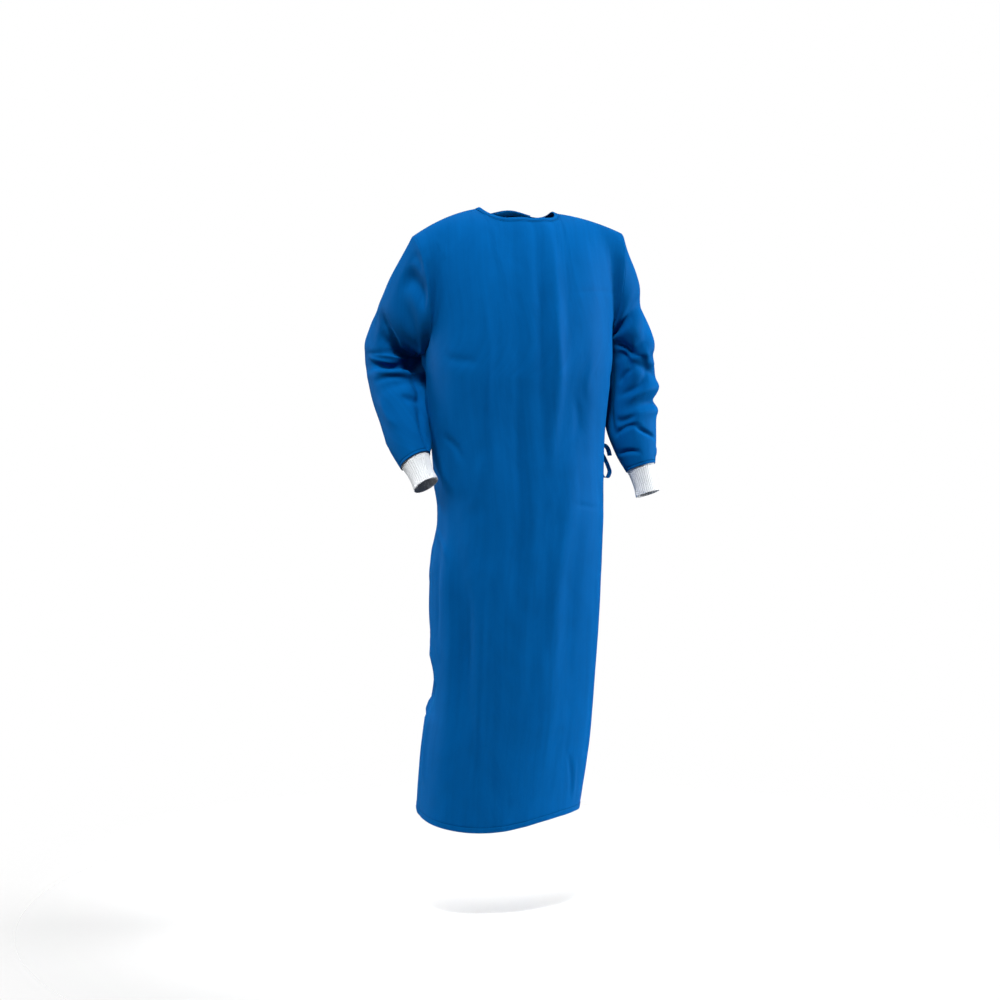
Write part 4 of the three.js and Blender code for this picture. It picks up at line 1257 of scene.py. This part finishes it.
def sew_gown():
    """Cuts, shapes and sews every sheet of the gown"""
    groups = {"non_woven": non_woven_group(), "stitches": stitch_group(), "knit": knit_group()}
    body_cloth = blue_cloth("blue body cloth", groups, STITCH_ROWS["body"])
    sleeve_cloth = blue_cloth("blue sleeve cloth", groups, STITCH_ROWS["sleeve"])
    trim_cloth = blue_cloth("blue binding cloth", groups, STITCH_ROWS["binding"])
    tape_cloth = blue_cloth("blue tie tape", groups, STITCH_ROWS["tape"], along_tape=True)
    knit = white_knit(groups)
    panels = sew_body(body_cloth)
    for side in ("left", "right"):
        sew_sleeve(side, sleeve_cloth, knit)
    sew_neck(panels, trim_cloth)
    tie_bow(tape_cloth)


def point_at(thing, spot, aim):
    """Stands a light or the camera at a spot, pointing at another"""
    thing.location = spot
    thing.rotation_euler = (Vector(aim) - Vector(spot)).to_track_quat("-Z", "Y").to_euler()
    bpy.context.scene.collection.objects.link(thing)


def soft_light(title, spot, aim, size, spread, power):
    """A square lamp that points at a spot"""
    lamp = bpy.data.lights.new(title, "AREA")
    lamp.shape = "SQUARE"
    lamp.size = size
    lamp.spread = math.radians(spread)
    lamp.energy = power
    point_at(bpy.data.objects.new(title, lamp), spot, aim)


def white_air():
    """White all round for the camera, and a softer white for the light it gives"""
    world = bpy.data.worlds.new("studio air")
    bpy.context.scene.world = world
    world.use_nodes = True
    tree = world.node_tree
    air = tree.nodes["Background"]
    air.inputs["Color"].default_value = (1, 1, 1, 1)
    seen = add(tree, "ShaderNodeLightPath").outputs["Is Camera Ray"]
    strength = calc(tree, "MULTIPLY_ADD", seen, 1 - AIR_LIGHT, AIR_LIGHT)
    tree.links.new(strength, air.inputs["Strength"])


def white_paper():
    """White floor paper that fades out towards its rim"""
    material, tree, shader = new_material("white paper", **PAPER_FINISH)
    shader["Base Color"].default_value = WHITE["paper"]
    spot = add(tree, "ShaderNodeTexCoord").outputs["Object"]
    far = add(tree, "ShaderNodeVectorMath", operation="LENGTH")
    tree.links.new(spot, far.inputs[0])
    fade = add(tree, "ShaderNodeMapRange", interpolation_type="SMOOTHSTEP")
    fade.inputs["From Min"].default_value = FLOOR["fades_from"]
    fade.inputs["From Max"].default_value = FLOOR["radius"]
    tree.links.new(far.outputs["Value"], fade.inputs["Value"])
    blend = add(tree, "ShaderNodeMixShader")
    tree.links.new(fade.outputs[0], blend.inputs[0])
    tree.links.new(tree.nodes["Principled BSDF"].outputs[0], blend.inputs[1])
    tree.links.new(add(tree, "ShaderNodeBsdfTransparent").outputs[0], blend.inputs[2])
    tree.links.new(blend.outputs[0], tree.nodes["Material Output"].inputs["Surface"])
    return material


def white_floor():
    """Round floor of white paper"""
    bm = bmesh.new()
    bmesh.ops.create_circle(bm, cap_ends=True, segments=FLOOR["segments"], radius=FLOOR["radius"])
    mesh = bpy.data.meshes.new("floor")
    bm.to_mesh(mesh)
    bm.free()
    floor = bpy.data.objects.new("floor", mesh)
    floor.location.z = FLOOR["z"]
    bpy.context.scene.collection.objects.link(floor)
    mesh.materials.append(white_paper())


def stand_camera():
    """The camera, level with the gown's chest"""
    camera = bpy.data.cameras.new("camera")
    camera.lens = LENS["length"]
    camera.sensor_width = LENS["sensor"]
    camera.sensor_fit = "HORIZONTAL"
    view = bpy.data.objects.new("camera", camera)
    point_at(view, CAMERA["spot"], CAMERA["aim"])
    bpy.context.scene.camera = view


def studio():
    """White floor and air, soft lights and the camera"""
    bpy.context.scene.view_settings.view_transform = "Standard"
    white_air()
    white_floor()
    for light in LIGHTS:
        soft_light(**light)
    stand_camera()


sew_gown()
studio()
